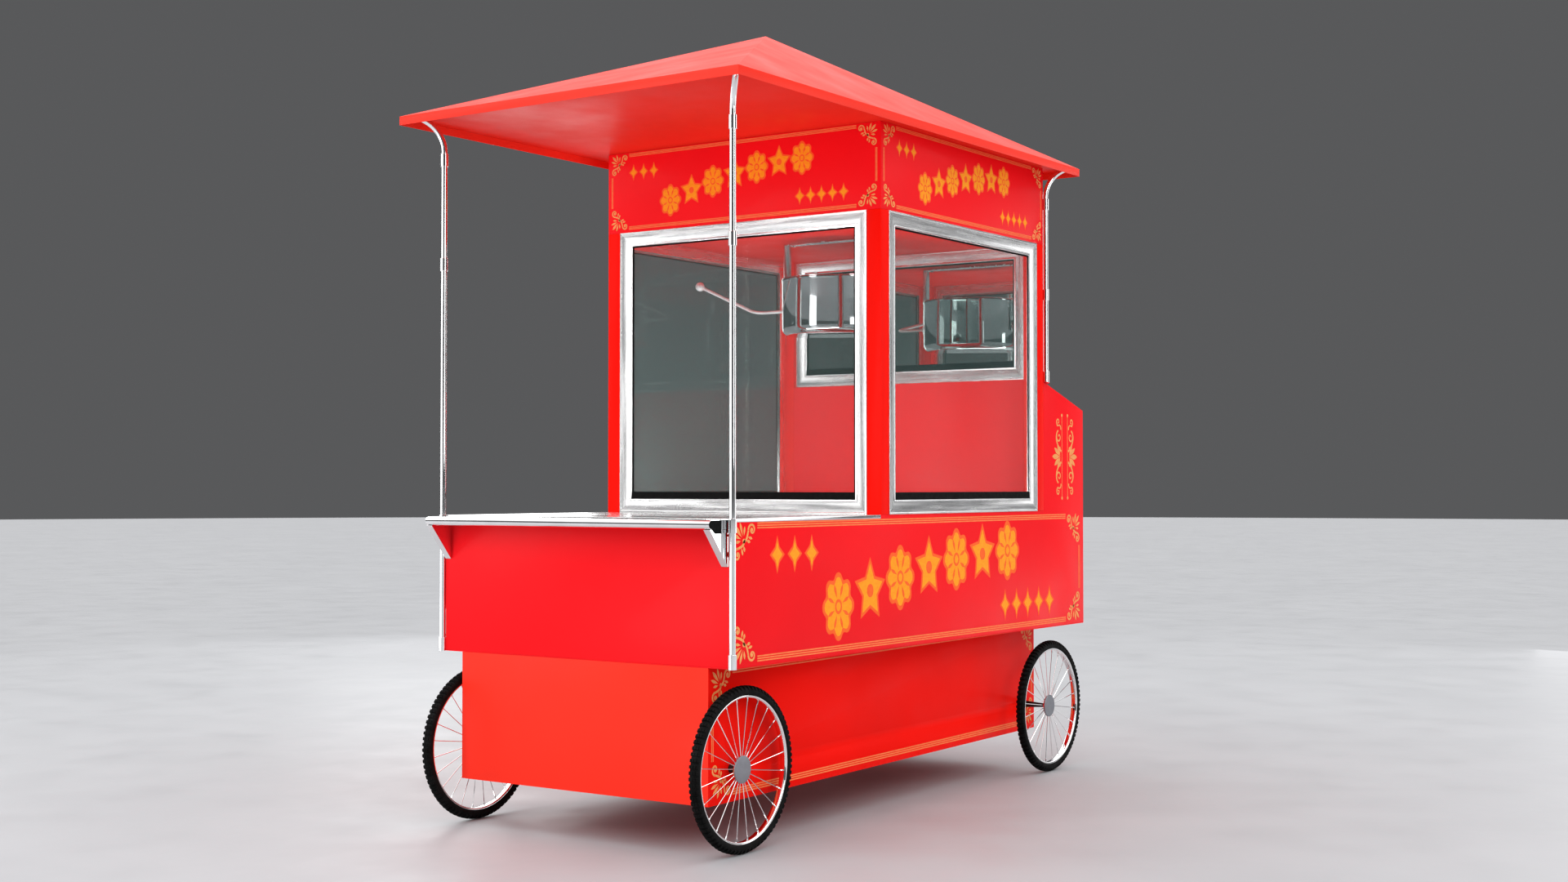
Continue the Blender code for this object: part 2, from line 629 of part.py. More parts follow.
def kettle_handle():
    """Crank rod on the far trunnion, ending in a ball grip."""
    start = KETTLE_RADIUS + 0.0235 + GAP
    bend = 0.366
    radius = 0.040
    end = Vector((-0.0255, bend, 1.829))
    corner = Vector((KETTLE_X, bend, KETTLE_Z))
    arm = (end - corner).normalized()
    along = Vector((0.0, 1.0, 0.0))
    points = [Vector((KETTLE_X, start, KETTLE_Z)), Vector((KETTLE_X, start + 0.010, KETTLE_Z)),
              Vector((KETTLE_X, start + 0.0102, KETTLE_Z))]
    radii = [0.012, 0.012, 0.006]
    for k in range(0, 7):
        angle = math.radians(15.0 * k)
        back = along * radius * (1.0 - math.sin(angle))
        points.append(corner - back + arm * radius * (1.0 - math.cos(angle)))
        radii.append(0.006)
    points.append(end)
    radii.append(0.006)
    bm = bmesh.new()
    tube_into(bm, points, radii, 12)
    obj = add("kettle_handle", bm, "chrome", (KETTLE_X, 0.0, KETTLE_Z))
    ball = bmesh.new()
    bmesh.ops.create_uvsphere(ball, u_segments=20, v_segments=12, radius=0.0170)
    bmesh.ops.translate(ball, verts=ball.verts, vec=end)
    boolean(obj, add("tool", ball, None), "UNION")
    shade(obj, 40.0)
    return obj


def half_disc(radius, edge, side, count=24):
    """Outline of the part of a disc that lies beyond the line x = side * edge."""
    limit = math.acos(edge / radius)
    points = []
    for k in range(count + 1):
        angle = -limit + 2.0 * limit * k / count
        points.append((KETTLE_X + side * radius * math.cos(angle), radius * math.sin(angle)))
    return points


def kettle_cover(centre, pivot):
    z0 = KETTLE_TOP + GAP
    rear = half_disc(0.1995, 0.0, 1.0)
    left = KETTLE_X - 0.016
    right = KETTLE_X + 0.016
    bridge = [(left, -0.1980), (right, -0.1980), (right, 0.1980), (left, 0.1980)]
    cover = prism("kettle_cover", rear, "Z", z0, z0 + 0.002, "steel")
    boolean(cover, prism("tool", bridge, "Z", z0, z0 + 0.005, None), "UNION")
    boolean(cover, rod_tool("Z", (KETTLE_X, 0.0, z0), 0.00412, -0.02, 0.02, 20))
    move_origin(cover, pivot)
    hinge_point = (KETTLE_X - 0.0185, 0.0, z0 + 0.002)
    lid = prism("kettle_lid", half_disc(0.1995, 0.0185, -1.0), "Z", z0, z0 + 0.002, "steel")
    knob = [(0.0, -0.001), (0.004, -0.001), (0.004, 0.008), (0.009, 0.011), (0.009, 0.016), (0.0, 0.017)]
    boolean(lid, lathe("tool", knob, "Z", (KETTLE_X - 0.135, 0.0, z0 + 0.002), None, 16), "UNION")
    move_origin(lid, hinge_point)
    top = z0 + 0.005 + GAP
    shaft = [(0.0, KETTLE_BOTTOM + 0.008), (0.004, KETTLE_BOTTOM + 0.008), (0.004, top), (0.012, top),
             (0.012, top + 0.014), (0.0, top + 0.014)]
    stirrer = lathe("stirrer", shaft, "Z", centre, "steel", 20)
    blade = box_tool(KETTLE_X - 0.003, KETTLE_X + 0.003, -0.165, 0.165,
                     KETTLE_BOTTOM + 0.0065, KETTLE_BOTTOM + 0.0185)
    boolean(stirrer, blade, "UNION")
    move_origin(stirrer, (KETTLE_X, 0.0, KETTLE_Z))


# ---------------------------------------------------------------- roof and tubes
def roof():
    cx = 0.5 * (ROOF_X0 + ROOF_X1)
    w = ROOF_WALL
    bm = bmesh.new()

    def ring(inset, z):
        return [bm.verts.new((x, y, z)) for x, y in (
            (ROOF_X0 + inset, inset - ROOF_HALF_Y), (ROOF_X1 - inset, inset - ROOF_HALF_Y),
            (ROOF_X1 - inset, ROOF_HALF_Y - inset), (ROOF_X0 + inset, ROOF_HALF_Y - inset))]

    outer_low = ring(0.0, ROOF_EAVE_Z0)
    outer_high = ring(0.0, ROOF_EAVE_Z1)
    inner_low = ring(w, ROOF_EAVE_Z0)
    inner_high = ring(w, ROOF_EAVE_Z1 - 0.0012)
    apex = bm.verts.new((cx, 0.0, ROOF_APEX_Z))
    peak = bm.verts.new((cx, 0.0, ROOF_APEX_Z - 0.0035))
    for i in range(4):
        j = (i + 1) % 4
        bm.faces.new([outer_low[i], outer_low[j], outer_high[j], outer_high[i]])
        bm.faces.new([outer_high[i], outer_high[j], apex])
        bm.faces.new([inner_low[j], inner_low[i], inner_high[i], inner_high[j]])
        bm.faces.new([inner_high[j], inner_high[i], peak])
        bm.faces.new([outer_low[j], outer_low[i], inner_low[i], inner_low[j]])
    add("roof_shell", bm, "roof_red")
    s = w + GAP
    box("roof_soffit", ROOF_X0 + s, ROOF_X1 - s, s - ROOF_HALF_Y, ROOF_HALF_Y - s,
        SIGN_Z1 + GAP, SIGN_Z1 + 0.0015, "signal_red")


def roof_tube(name, x, side, foot, collars):
    """Chromed tube with collars whose top sweeps outward to the soffit."""
    y = side * TUBE_Y
    out = Vector((-1.0 if x < 0.0 else 1.0, side, 0.0)).normalized()
    base = Vector((x, y, 0.0))
    points = []
    radii = []

    def step(z, r):
        points.append(base + Vector((0.0, 0.0, z)))
        radii.append(r)

    for low, high in collars:
        if low > foot:
            step(low, TUBE_RADIUS)
            step(low + 0.0008, COLLAR_RADIUS)
        else:
            step(low, COLLAR_RADIUS)
        step(high - 0.0008, COLLAR_RADIUS)
        step(high, TUBE_RADIUS)
    for k in range(0, 10):
        angle = math.radians(8.0 * k)
        rise = BEND_START_Z + BEND_RADIUS * math.sin(angle)
        reach = BEND_RADIUS * (1.0 - math.cos(angle))
        points.append(base + out * reach + Vector((0.0, 0.0, rise)))
        radii.append(TUBE_RADIUS)
    bm = bmesh.new()
    tube_into(bm, points, radii, 16)
    obj = add(name, bm, "chrome")
    boolean(obj, box_tool(x - 0.3, x + 0.3, y - 0.3, y + 0.3, SIGN_Z1, SIGN_Z1 + 0.2))
    shade(obj, 30.0)
    return obj


def roof_tubes():
    upper = [(1.800, 1.842), (2.144, 2.186)]
    front = [(FLOOR_Z, FLOOR_Z + 0.044), (0.957, 1.000)] + upper
    foot = CONSOLE_Z0 - 0.014
    rear = [(foot, CONSOLE_Z0 + 0.040)] + upper
    fall = (CONSOLE_Z0 - CONSOLE_Z1) / (REAR_X - CABINET_X1)
    for name, side in (("near", -1.0), ("far", 1.0)):
        roof_tube("roof_tube_front_" + name, FRONT_TUBE_X, side, FLOOR_Z, front)
        tube = roof_tube("roof_tube_rear_" + name, REAR_TUBE_X, side, foot, rear)
        left = CABINET_X1 - 0.05
        right = CABINET_X1 + 0.05
        under = [(left, 1.40), (right, 1.40), (right, CONSOLE_Z0 + GAP - 0.05 * fall),
                 (left, CONSOLE_Z0 + GAP + 0.05 * fall)]
        boolean(tube, prism("tool", under, "Y", -0.7, 0.7, None))
        shade(tube, 30.0)


# ---------------------------------------------------------------- console switches
def switches():
    """Switch plate on the console's slope with three rockers."""
    run = REAR_X - CABINET_X1
    slope = math.atan2(CONSOLE_Z0 - CONSOLE_Z1, run)
    share = 0.5
    origin = Vector((CABINET_X1 + share * run, 0.36, CONSOLE_Z0 - share * (CONSOLE_Z0 - CONSOLE_Z1)))
    turn = Matrix.Translation(origin) @ Matrix.Rotation(slope, 4, "Y")
    plate = box("switch_plate", -0.030, 0.030, -0.075, 0.075, 0.0004, 0.0064, "steel")
    for y in (-0.045, 0.0, 0.045):
        boolean(plate, box_tool(-0.0150, 0.0150, y - 0.0104, y + 0.0104, -0.01, 0.02))
    plate.data.transform(turn)
    outline = [(-0.0060, 0.0020), (0.0060, 0.0020), (0.0132, 0.0090), (0.0, 0.0078), (-0.0132, 0.0090)]
    for index, y in enumerate((-0.045, 0.0, 0.045)):
        rocker = prism("rocker_%d" % (index + 1), outline, "Y", y - 0.0100, y + 0.0100, "black")
        rocker.data.transform(turn)
        move_origin(rocker, turn @ Vector((0.0, y, 0.0052)))


chassis()
for end_name, end_x in (("front", -WHEEL_X), ("rear", WHEEL_X)):
    axle("axle_" + end_name, end_x)
    for side_name, side_y in (("near", -WHEEL_Y), ("far", WHEEL_Y)):
        tyre("tyre_%s_%s" % (end_name, side_name), end_x, side_y)
        wheel("wheel_%s_%s" % (end_name, side_name), end_x, side_y)
body()
shelf()
corner_posts()
sign_and_ceiling()
cabinet_glazing()
far_door()
kettle()
roof()
roof_tubes()
switches()
bpy.context.view_layer.update()
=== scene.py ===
"""Looks of the popcorn cart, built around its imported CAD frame."""
import math

import bmesh
import bpy
from mathutils import Matrix, Vector


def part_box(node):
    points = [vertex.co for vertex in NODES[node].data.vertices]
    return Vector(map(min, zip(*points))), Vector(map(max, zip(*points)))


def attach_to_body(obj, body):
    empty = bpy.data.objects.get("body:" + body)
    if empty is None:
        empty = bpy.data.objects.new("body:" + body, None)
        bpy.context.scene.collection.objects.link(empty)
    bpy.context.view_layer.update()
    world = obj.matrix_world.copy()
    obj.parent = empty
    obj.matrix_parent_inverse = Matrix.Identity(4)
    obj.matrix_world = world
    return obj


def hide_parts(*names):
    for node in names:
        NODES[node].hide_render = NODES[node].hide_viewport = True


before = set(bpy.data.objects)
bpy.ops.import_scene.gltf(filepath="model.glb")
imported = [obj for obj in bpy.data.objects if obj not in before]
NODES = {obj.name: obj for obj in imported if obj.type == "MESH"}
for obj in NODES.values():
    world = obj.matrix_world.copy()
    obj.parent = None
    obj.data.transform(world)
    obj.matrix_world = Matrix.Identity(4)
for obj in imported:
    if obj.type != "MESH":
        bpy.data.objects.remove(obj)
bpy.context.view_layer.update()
CART = "cart"
X, Y, Z = Vector((1, 0, 0)), Vector((0, 1, 0)), Vector((0, 0, 1))


# ------------------------------------------------------------------ materials
class Shader:
    """A Principled material whose colour, gloss and relief come from noise in object space."""

    def __init__(self, name, color, rough, **sockets):
        self.mat = bpy.data.materials.new(name)
        self.mat.use_nodes = True
        self.tree = self.mat.node_tree
        self.bsdf = self.tree.nodes["Principled BSDF"]
        self.bsdf.inputs["Base Color"].default_value = (*color, 1.0)
        self.bsdf.inputs["Roughness"].default_value = rough
        for key, value in sockets.items():
            self.bsdf.inputs[key.replace("_", " ")].default_value = value
        self.coord = self.tree.nodes.new("ShaderNodeTexCoord").outputs["Object"]
        self.normal = None

    def node(self, kind, **values):
        node = self.tree.nodes.new(kind)
        for key, value in values.items():
            node.inputs[key].default_value = value
        return node

    def noise(self, scale, detail=3.0, stretch=(1.0, 1.0, 1.0), turn=(0.0, 0.0, 0.0)):
        place = self.node("ShaderNodeMapping", Scale=stretch, Rotation=turn)
        self.tree.links.new(self.coord, place.inputs["Vector"])
        tex = self.node("ShaderNodeTexNoise", Scale=scale, Detail=detail)
        self.tree.links.new(place.outputs["Vector"], tex.inputs["Vector"])
        return tex.outputs["Fac"]

    def ramp(self, fac, stops):
        node = self.tree.nodes.new("ShaderNodeValToRGB")
        elements = node.color_ramp.elements
        for index, (position, color) in enumerate(stops):
            item = elements[index] if index < 2 else elements.new(position)
            item.position = position
            item.color = (*color, 1.0) if isinstance(color, tuple) else (color, color, color, 1.0)
        self.tree.links.new(fac, node.inputs["Fac"])
        return node.outputs["Color"]

    def link(self, output, socket):
        self.tree.links.new(output, self.bsdf.inputs[socket])
        return self

    def tone(self, fac, dark, light, low=0.3, high=0.7):
        return self.link(self.ramp(fac, [(low, dark), (high, light)]), "Base Color")

    def gloss(self, fac, low_value, high_value, low=0.3, high=0.7):
        return self.link(self.ramp(fac, [(low, low_value), (high, high_value)]), "Roughness")

    def bump(self, fac, strength, distance):
        node = self.node("ShaderNodeBump", Strength=strength, Distance=distance)
        self.tree.links.new(fac, node.inputs["Height"])
        if self.normal is not None:
            self.tree.links.new(self.normal, node.inputs["Normal"])
        self.normal = node.outputs["Normal"]
        return self.link(self.normal, "Normal")


def shade_of(color, factor):
    return tuple(channel * factor for channel in color)


def paint(name, color, rough=0.36, sheen=0.055):
    """Sprayed enamel: faint tonal drift, orange peel and uneven polish under a thin clear coat."""
    s = Shader(name, color, rough, Specular_IOR_Level=sheen, Coat_Weight=0.012, Coat_Roughness=0.10)
    s.tone(s.noise(1.7, 3.0), shade_of(color, 0.94), shade_of(color, 1.04))
    s.gloss(s.noise(5.0, 4.0), rough * 0.85, rough * 1.25)
    s.bump(s.noise(420.0, 1.0), 0.02, 0.0003)
    return s.mat


def metal(name, color, low, high, stretch=(1.0, 1.0, 1.0), grain=40.0, relief=0.0, metallic=1.0):
    """Bare metal: smudged where stretch is even, brushed where it is long."""
    s = Shader(name, color, low, Metallic=metallic)
    s.tone(s.noise(grain, 5.0, stretch), shade_of(color, 0.90), color)
    s.gloss(s.noise(grain * 0.7, 4.0, stretch), low, high)
    if relief:
        s.bump(s.noise(grain * 2.0, 3.0, stretch), relief, 0.0003)
    return s.mat


def rubber():
    s = Shader("tyre_rubber", (0.005, 0.005, 0.005), 0.62, Specular_IOR_Level=0.07)
    s.tone(s.noise(30.0, 6.0), (0.0025, 0.0025, 0.0025), (0.008, 0.0078, 0.0078))
    s.gloss(s.noise(55.0, 4.0), 0.48, 0.80)
    s.bump(s.noise(700.0, 2.0), 0.22, 0.0004)
    return s.mat


def glass():
    """Tinted pane: mostly see-through, with a sheen that the wiped streaks break up."""
    s = Shader("tinted_glass", (0.09, 0.17, 0.16), 0.015, Alpha=0.17, IOR=2.0)
    s.tone(s.noise(3.0, 3.0, (1.0, 1.0, 0.4)), (0.080, 0.15, 0.14), (0.11, 0.19, 0.18))
    s.gloss(s.noise(14.0, 5.0, (1.0, 1.0, 0.25)), 0.006, 0.022)
    return s.mat


def lacquer(name, dark, light, rough=0.42):
    """Brushed-on signwriter's paint."""
    s = Shader(name, light, rough, Specular_IOR_Level=0.09)
    s.tone(s.noise(55.0, 4.0, (1.0, 1.0, 2.0)), dark, light)
    s.gloss(s.noise(80.0, 3.0), rough * 0.8, rough * 1.25)
    s.bump(s.noise(420.0, 2.0), 0.08, 0.0003)
    return s.mat


def plain(name, dark, light, low, high, scale=60.0, sheen=0.25):
    s = Shader(name, light, low, Specular_IOR_Level=sheen)
    s.tone(s.noise(scale, 4.0), dark, light)
    s.gloss(s.noise(scale * 1.4, 3.0), low, high)
    s.bump(s.noise(scale * 8.0, 2.0), 0.06, 0.0003)
    return s.mat


CRIMSON = (0.92, 0.0075, 0.0125)
VERMILION = (0.93, 0.0070, 0.0030)
M = {
    "crimson": paint("crimson_enamel", CRIMSON),
    "vermilion": paint("vermilion_enamel", VERMILION, 0.40, 0.02),
    # Painted light: a lighter, oranger copy of the chassis vermilion for its front-facing end, so that it
    # reads brighter than the shaded sides.
    "vermilion_lit_copy": paint("vermilion_painted_light_enamel", (0.95, 0.032, 0.016)),
    "roof": paint("roof_enamel", (0.93, 0.038, 0.021), 0.42, 0.11),
    "soffit": paint("soffit_enamel", (0.88, 0.023, 0.012), 0.45),
    "chrome": metal("polished_chrome", (0.93, 0.935, 0.94), 0.03, 0.08, grain=18.0),
    "frame_u": metal("polished_frame_u", (0.97, 0.97, 0.97), 0.20, 0.31, (0.05, 0.05, 1.0), 130.0, 0.02),
    "frame_v": metal("polished_frame_v", (0.97, 0.97, 0.97), 0.20, 0.31, (1.0, 1.0, 0.04), 130.0, 0.02),
    # Painted highlight: a mostly non-metallic near-white finish for the chrome crank, so that it reads as
    # blown-out chrome.
    "painted_highlight_white": metal("crank_painted_highlight_finish", (0.86, 0.93, 0.94), 0.14, 0.24, grain=50.0, metallic=0.20),
    "counter": metal("brushed_counter", (0.90, 0.90, 0.90), 0.12, 0.24, (0.03, 1.0, 1.0), 300.0),
    "spun": metal("spun_steel", (0.86, 0.865, 0.87), 0.04, 0.10, (1.0, 1.0, 6.0), 60.0),
    # Painted dark reflection: a darker copy of the spun steel for the kettle's bowl, standing in for the dark
    # surroundings it mirrors.
    "bowl": metal("bowl_steel_painted_dark_reflection", (0.46, 0.475, 0.48), 0.03, 0.07, (1.0, 1.0, 6.0), 60.0),
    "steel": metal("mill_steel", (0.80, 0.80, 0.81), 0.16, 0.30, (1.0, 1.0, 0.1), 120.0),
    "zinc": metal("zinc_disc", (0.30, 0.31, 0.34), 0.34, 0.48, (1.0, 1.0, 1.0), 45.0, 0.05),
    "mirror": metal("mirror_steel", (0.66, 0.73, 0.71), 0.008, 0.022, grain=10.0),
    "glass": glass(),
    "rubber": rubber(),
    "black": plain("black_enamel", (0.006, 0.006, 0.006), (0.014, 0.013, 0.013), 0.25, 0.45),
    "seal": plain("black_seal", (0.002, 0.002, 0.002), (0.005, 0.005, 0.005), 0.55, 0.75, sheen=0.06),
    "plastic": plain("black_plastic", (0.008, 0.008, 0.009), (0.016, 0.016, 0.017), 0.20, 0.34, 140.0),
    "gold": lacquer("gold_line_paint", (0.88, 0.17, 0.050), (0.95, 0.24, 0.080)),
    "tan": lacquer("tan_gold_paint", (0.78, 0.29, 0.085), (0.88, 0.37, 0.12)),
    "orange": lacquer("orange_paint", (0.93, 0.105, 0.016), (0.97, 0.140, 0.022)),
    "amber": lacquer("amber_paint", (0.95, 0.30, 0.008), (1.0, 0.36, 0.014)),
}


# ------------------------------------------------------------------ mesh helpers
def piece(name, bm, material, body, replaces=(), smooth=None, bevel=0.0, steps=2):
    """A finished object from a bmesh in cart coordinates, riding on a body."""
    bmesh.ops.recalc_face_normals(bm, faces=bm.faces)
    mesh = bpy.data.meshes.new(name)
    bm.to_mesh(mesh)
    bm.free()
    mesh.materials.append(M[material])
    obj = bpy.data.objects.new(name, mesh)
    bpy.context.scene.collection.objects.link(obj)
    if smooth or bevel:
        soften(mesh, smooth or 180.0)
    if bevel:
        round_edges(obj, bevel, steps)
    return attach(obj, body, replaces)


def attach(obj, body, replaces=()):
    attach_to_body(obj, body)
    if replaces:
        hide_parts(*replaces)
    return obj


def soften(mesh, angle):
    mesh.polygons.foreach_set("use_smooth", [True] * len(mesh.polygons))
    if angle < 180.0:
        mesh.set_sharp_from_angle(angle=math.radians(angle))


def round_edges(obj, width, steps):
    mod = obj.modifiers.new("edges", "BEVEL")
    mod.width = width
    mod.segments = steps
    mod.limit_method = "ANGLE"
    mod.angle_limit = math.radians(30.0)
    mod.harden_normals = True
    mod.use_clamp_overlap = True


def solid_copy(node):
    """The node's mesh as a bmesh with whole faces instead of triangles."""
    bm = bmesh.new()
    bm.from_mesh(NODES[node].data)
    bmesh.ops.remove_doubles(bm, verts=bm.verts, dist=2e-6)
    bmesh.ops.dissolve_limit(bm, angle_limit=math.radians(0.6), verts=bm.verts, edges=bm.edges)
    return bm


def refine(node, material, width=0.0008, body=CART, steps=2):
    """Stands for a CAD node with the same solid, its edges eased."""
    return piece(node + "_eased", solid_copy(node), material, body, (node,), bevel=width, steps=steps)


def skin_into(bm, rings):
    """Closes a solid over rings with the same number of points, with a cap at each end."""
    bm.faces.new(rings[0])
    bm.faces.new(rings[-1][::-1])
    for here, there in zip(rings, rings[1:]):
        for k in range(len(here)):
            m = (k + 1) % len(here)
            bm.faces.new([here[k], there[k], there[m], here[m]])


def prism_into(bm, outline, spot):
    """Extrudes an outline; spot(a, b, end) gives the point at either end."""
    skin_into(bm, [[bm.verts.new(spot(a, b, end)) for a, b in outline] for end in (0, 1)])


def circle(count):
    """Evenly spaced angles of a full turn."""
    return [2.0 * math.pi * k / count for k in range(count)]


def arc(centre, radius, start, end, count):
    """Points of an arc between two angles in degrees, both ends included."""
    angles = [math.radians(start + (end - start) * k / count) for k in range(count + 1)]
    return [(centre[0] + radius * math.cos(a), centre[1] + radius * math.sin(a)) for a in angles]


def lathe_into(bm, profile, centre, axis=Z, count=96, closed=True):
    """Turns (radius, height) points about the axis. A closed profile makes a ring."""
    side = axis.orthogonal().normalized()
    other = axis.cross(side)
    rows = []
    for radius, height in profile:
        base = Vector(centre) + axis * height
        if radius < 1e-7:
            rows.append([bm.verts.new(base)])
            continue
        rows.append([bm.verts.new(base + (side * math.cos(t) + other * math.sin(t)) * radius)
                     for t in circle(count)])
    following = rows[1:] + rows[:1] if closed else rows[1:]
    for here, there in zip(rows, following):
        if len(here) == 1 and len(there) == 1:
            continue
        for i in range(count):
            j = (i + 1) % count
            loop = [here[i % len(here)], here[j % len(here)], there[j % len(there)], there[i % len(there)]]
            corners = list(dict.fromkeys(loop))
            if len(corners) > 2:
                bm.faces.new(corners)


def sweep_into(bm, points, radii, sides=32):
    """A round bar through the points, with one radius per point."""
    path = [Vector(p) for p in points]
    last = len(path) - 1
    normal = None
    rings = []
    for i, point in enumerate(path):
        ahead = path[min(i + 1, last)] - point
        behind = point - path[max(i - 1, 0)]
        tangent = (ahead.normalized() + behind.normalized()).normalized()
        normal = tangent.orthogonal() if normal is None else normal - tangent * normal.dot(tangent)
        normal.normalize()
        side = tangent.cross(normal)
        rings.append([bm.verts.new(point + (normal * math.cos(t) + side * math.sin(t)) * radii[i])
                      for t in circle(sides)])
    skin_into(bm, rings)


def moulding_into(bm, profile, rect, face, out):
    """Sweeps (inset, height) points round a rectangle with mitred corners.

    rect is (u0, u1, v0, v1); face(u, v) gives the point on the outer plane and out its outward direction.
    Rails get the first material and stiles the second.
    """
    u0, u1, v0, v1 = rect
    rings = []
    for u, v, su, sv in ((u0, v0, 1, 1), (u1, v0, -1, 1), (u1, v1, -1, -1), (u0, v1, 1, -1)):
        rings.append([bm.verts.new(face(u + su * d, v + sv * d) + out * h) for d, h in profile])
    for i, here in enumerate(rings):
        there = rings[(i + 1) % len(rings)]
        for k in range(len(profile)):
            m = (k + 1) % len(profile)
            bm.faces.new([here[k], there[k], there[m], here[m]]).material_index = i % 2


# ------------------------------------------------------------------ wheels
WHEEL_Z = 0.250
SPOKE_COUNT = 24
SPOKE_RADIUS = 0.0014
SPOKE_ROOT, SPOKE_TIP = 0.034, 0.2080
NIPPLE = ((0.2015, 0.0016), (0.2022, 0.0021), (0.2100, 0.0021), (0.2138, 0.0026))  # distance, radius
LUGS = 84
LUG_LENGTH = 0.0100
LUG_FOOT = 0.0075
LUG_CHAMFER = 0.0007
SECTION_RADIUS = 0.2344
LUG_ROWS = ((0.0, 0.0070, 0.0156), (32.0, 0.0072, 0.0160), (-32.0, 0.0072, 0.0160),
            (66.0, 0.0085, 0.0166), (-66.0, 0.0085, 0.0166))  # lean, width, height over the section's centre


def mirrored(half):
    """A closed profile from its half, (radius, offset) with offset falling to zero at the end."""
    return half + [(r, -y) for r, y in reversed(half[:-1])]


def tyre_mesh():
    half = [(0.2186, 0.0082), (0.2186, 0.0106), (0.2210, 0.0122), (0.2228, 0.0126), (0.2234, 0.0134),
            (0.2246, 0.0136), (0.2254, 0.0144), (0.2285, 0.0150), (0.2315, 0.0152), (0.2345, 0.0150),
            (0.2372, 0.0143), (0.2394, 0.0131), (0.2411, 0.0114), (0.2424, 0.0091), (0.2433, 0.0062),
            (0.2438, 0.0032), (0.2440, 0.0)]
    bm = bmesh.new()
    lathe_into(bm, mirrored(half), (0, 0, 0), -Y, 2 * LUGS)
    for theta in circle(LUGS):
        for lean, width, height in LUG_ROWS:
            lug_into(bm, theta, math.radians(lean), width, height)
    return bm


def lug_into(bm, theta, lean, width, height):
    """One tread block, leaning across the tyre's section."""
    radial = Vector((math.cos(theta), 0.0, math.sin(theta)))
    along = Vector((-math.sin(theta), 0.0, math.cos(theta)))
    normal = radial * math.cos(lean) + Y * math.sin(lean)
    across = Y * math.cos(lean) - radial * math.sin(lean)
    tip = radial * SECTION_RADIUS + normal * height
    rings = []
    for depth, grow in ((LUG_FOOT, 1.0), (LUG_CHAMFER, 0.97), (0.0, 0.80)):
        reach, half_width = along * (0.5 * LUG_LENGTH * grow), across * (0.5 * width * grow)
        rings.append([bm.verts.new(tip - normal * depth + reach * a + half_width * b)
                      for a, b in ((-1, -1), (1, -1), (1, 1), (-1, 1))])
    skin_into(bm, rings)


def rim_mesh():
    """Rim with bead walls and a rounded inner face, the spokes with their nipples, and the hub shell."""
    bm = bmesh.new()
    half = [(0.2183, 0.0104), (0.2200, 0.0108), (0.2206, 0.0115), (0.2202, 0.0122), (0.2190, 0.0124),
            (0.2168, 0.0120), (0.2148, 0.0106), (0.2136, 0.0084), (0.2130, 0.0050), (0.2128, 0.0)]
    lathe_into(bm, mirrored(half), (0, 0, 0), -Y, 144)
    for index in range(SPOKE_COUNT):
        theta = 2.0 * math.pi * (index + 0.5) / SPOKE_COUNT
        ray = Vector((math.cos(theta), 0.0, math.sin(theta)))
        root = ray * SPOKE_ROOT + Y * (0.0036 if index % 2 else 0.0012)
        sweep_into(bm, [root, ray * SPOKE_TIP], [SPOKE_RADIUS, SPOKE_RADIUS], 8)
        sweep_into(bm, [ray * distance for distance, _ in NIPPLE], [radius for _, radius in NIPPLE], 10)
    hub = [(0.0054, 0.0164), (0.0120, 0.0164), (0.0128, 0.0158), (0.0128, 0.0140), (0.0155, 0.0136),
           (0.0160, 0.0128), (0.0165, 0.0100), (0.0200, 0.0072), (0.0300, 0.0062), (0.0372, 0.0058),
           (0.0380, 0.0050), (0.0380, -0.0010), (0.0054, -0.0010)]
    lathe_into(bm, hub, (0, 0, 0), Y, 64)
    return bm


def cap_mesh():
    """Plain disc over the hub, seen from outside."""
    bm = bmesh.new()
    profile = [(0.0, -0.0008), (0.0410, -0.0008), (0.0415, 0.0001), (0.0415, 0.0026), (0.0411, 0.0033),
               (0.0402, 0.0037), (0.0375, 0.0039), (0.0150, 0.0042), (0.0, 0.0043)]
    lathe_into(bm, profile, (0, 0, 0), -Y, 96, closed=False)
    return bm


def wheels():
    parts = (("tread", tyre_mesh, "rubber", "tyre", "tyre_"), ("rim", rim_mesh, "chrome", "chrome", "wheel_"),
             ("hubcap", cap_mesh, "zinc", "chrome", None))
    for end in ("front", "rear"):
        for side in ("near", "far"):
            name = "%s_%s" % (end, side)
            low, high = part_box("tyre_" + name)
            centre = (low + high) * 0.5
            place = Matrix.Translation((centre.x, centre.y, WHEEL_Z))
            if side == "far":
                place = place @ Matrix.Rotation(math.pi, 4, "Z")
            for part, build, material, slot, node in parts:
                bm = build()
                bmesh.ops.transform(bm, matrix=place, verts=bm.verts)
                nodes = (node + name,) if node else ()
                piece("%s_%s" % (part, name), bm, material, "wheel_%s_body" % name, nodes, smooth=32.0)


# ------------------------------------------------------------------ tubes, shelf and glazing
TUBE_RADIUS = 0.010
COLLAR_RADIUS = 0.013
COLLAR_EDGE = 0.0007
COLLAR_STEP = 0.0002
COLLARS = ((1.800, 1.842), (2.144, 2.186))  # lower and upper end of the collars that all tubes have
FOOT_COLLAR_TOP = {"front": 0.602, "rear": 1.5305}
COUNTER_COLLAR = (0.957, 1.000)
BEND_START = 2.190
BEND_RADIUS = 0.117
CONSOLE_RISE, CONSOLE_RUN = 0.1005, 0.3375


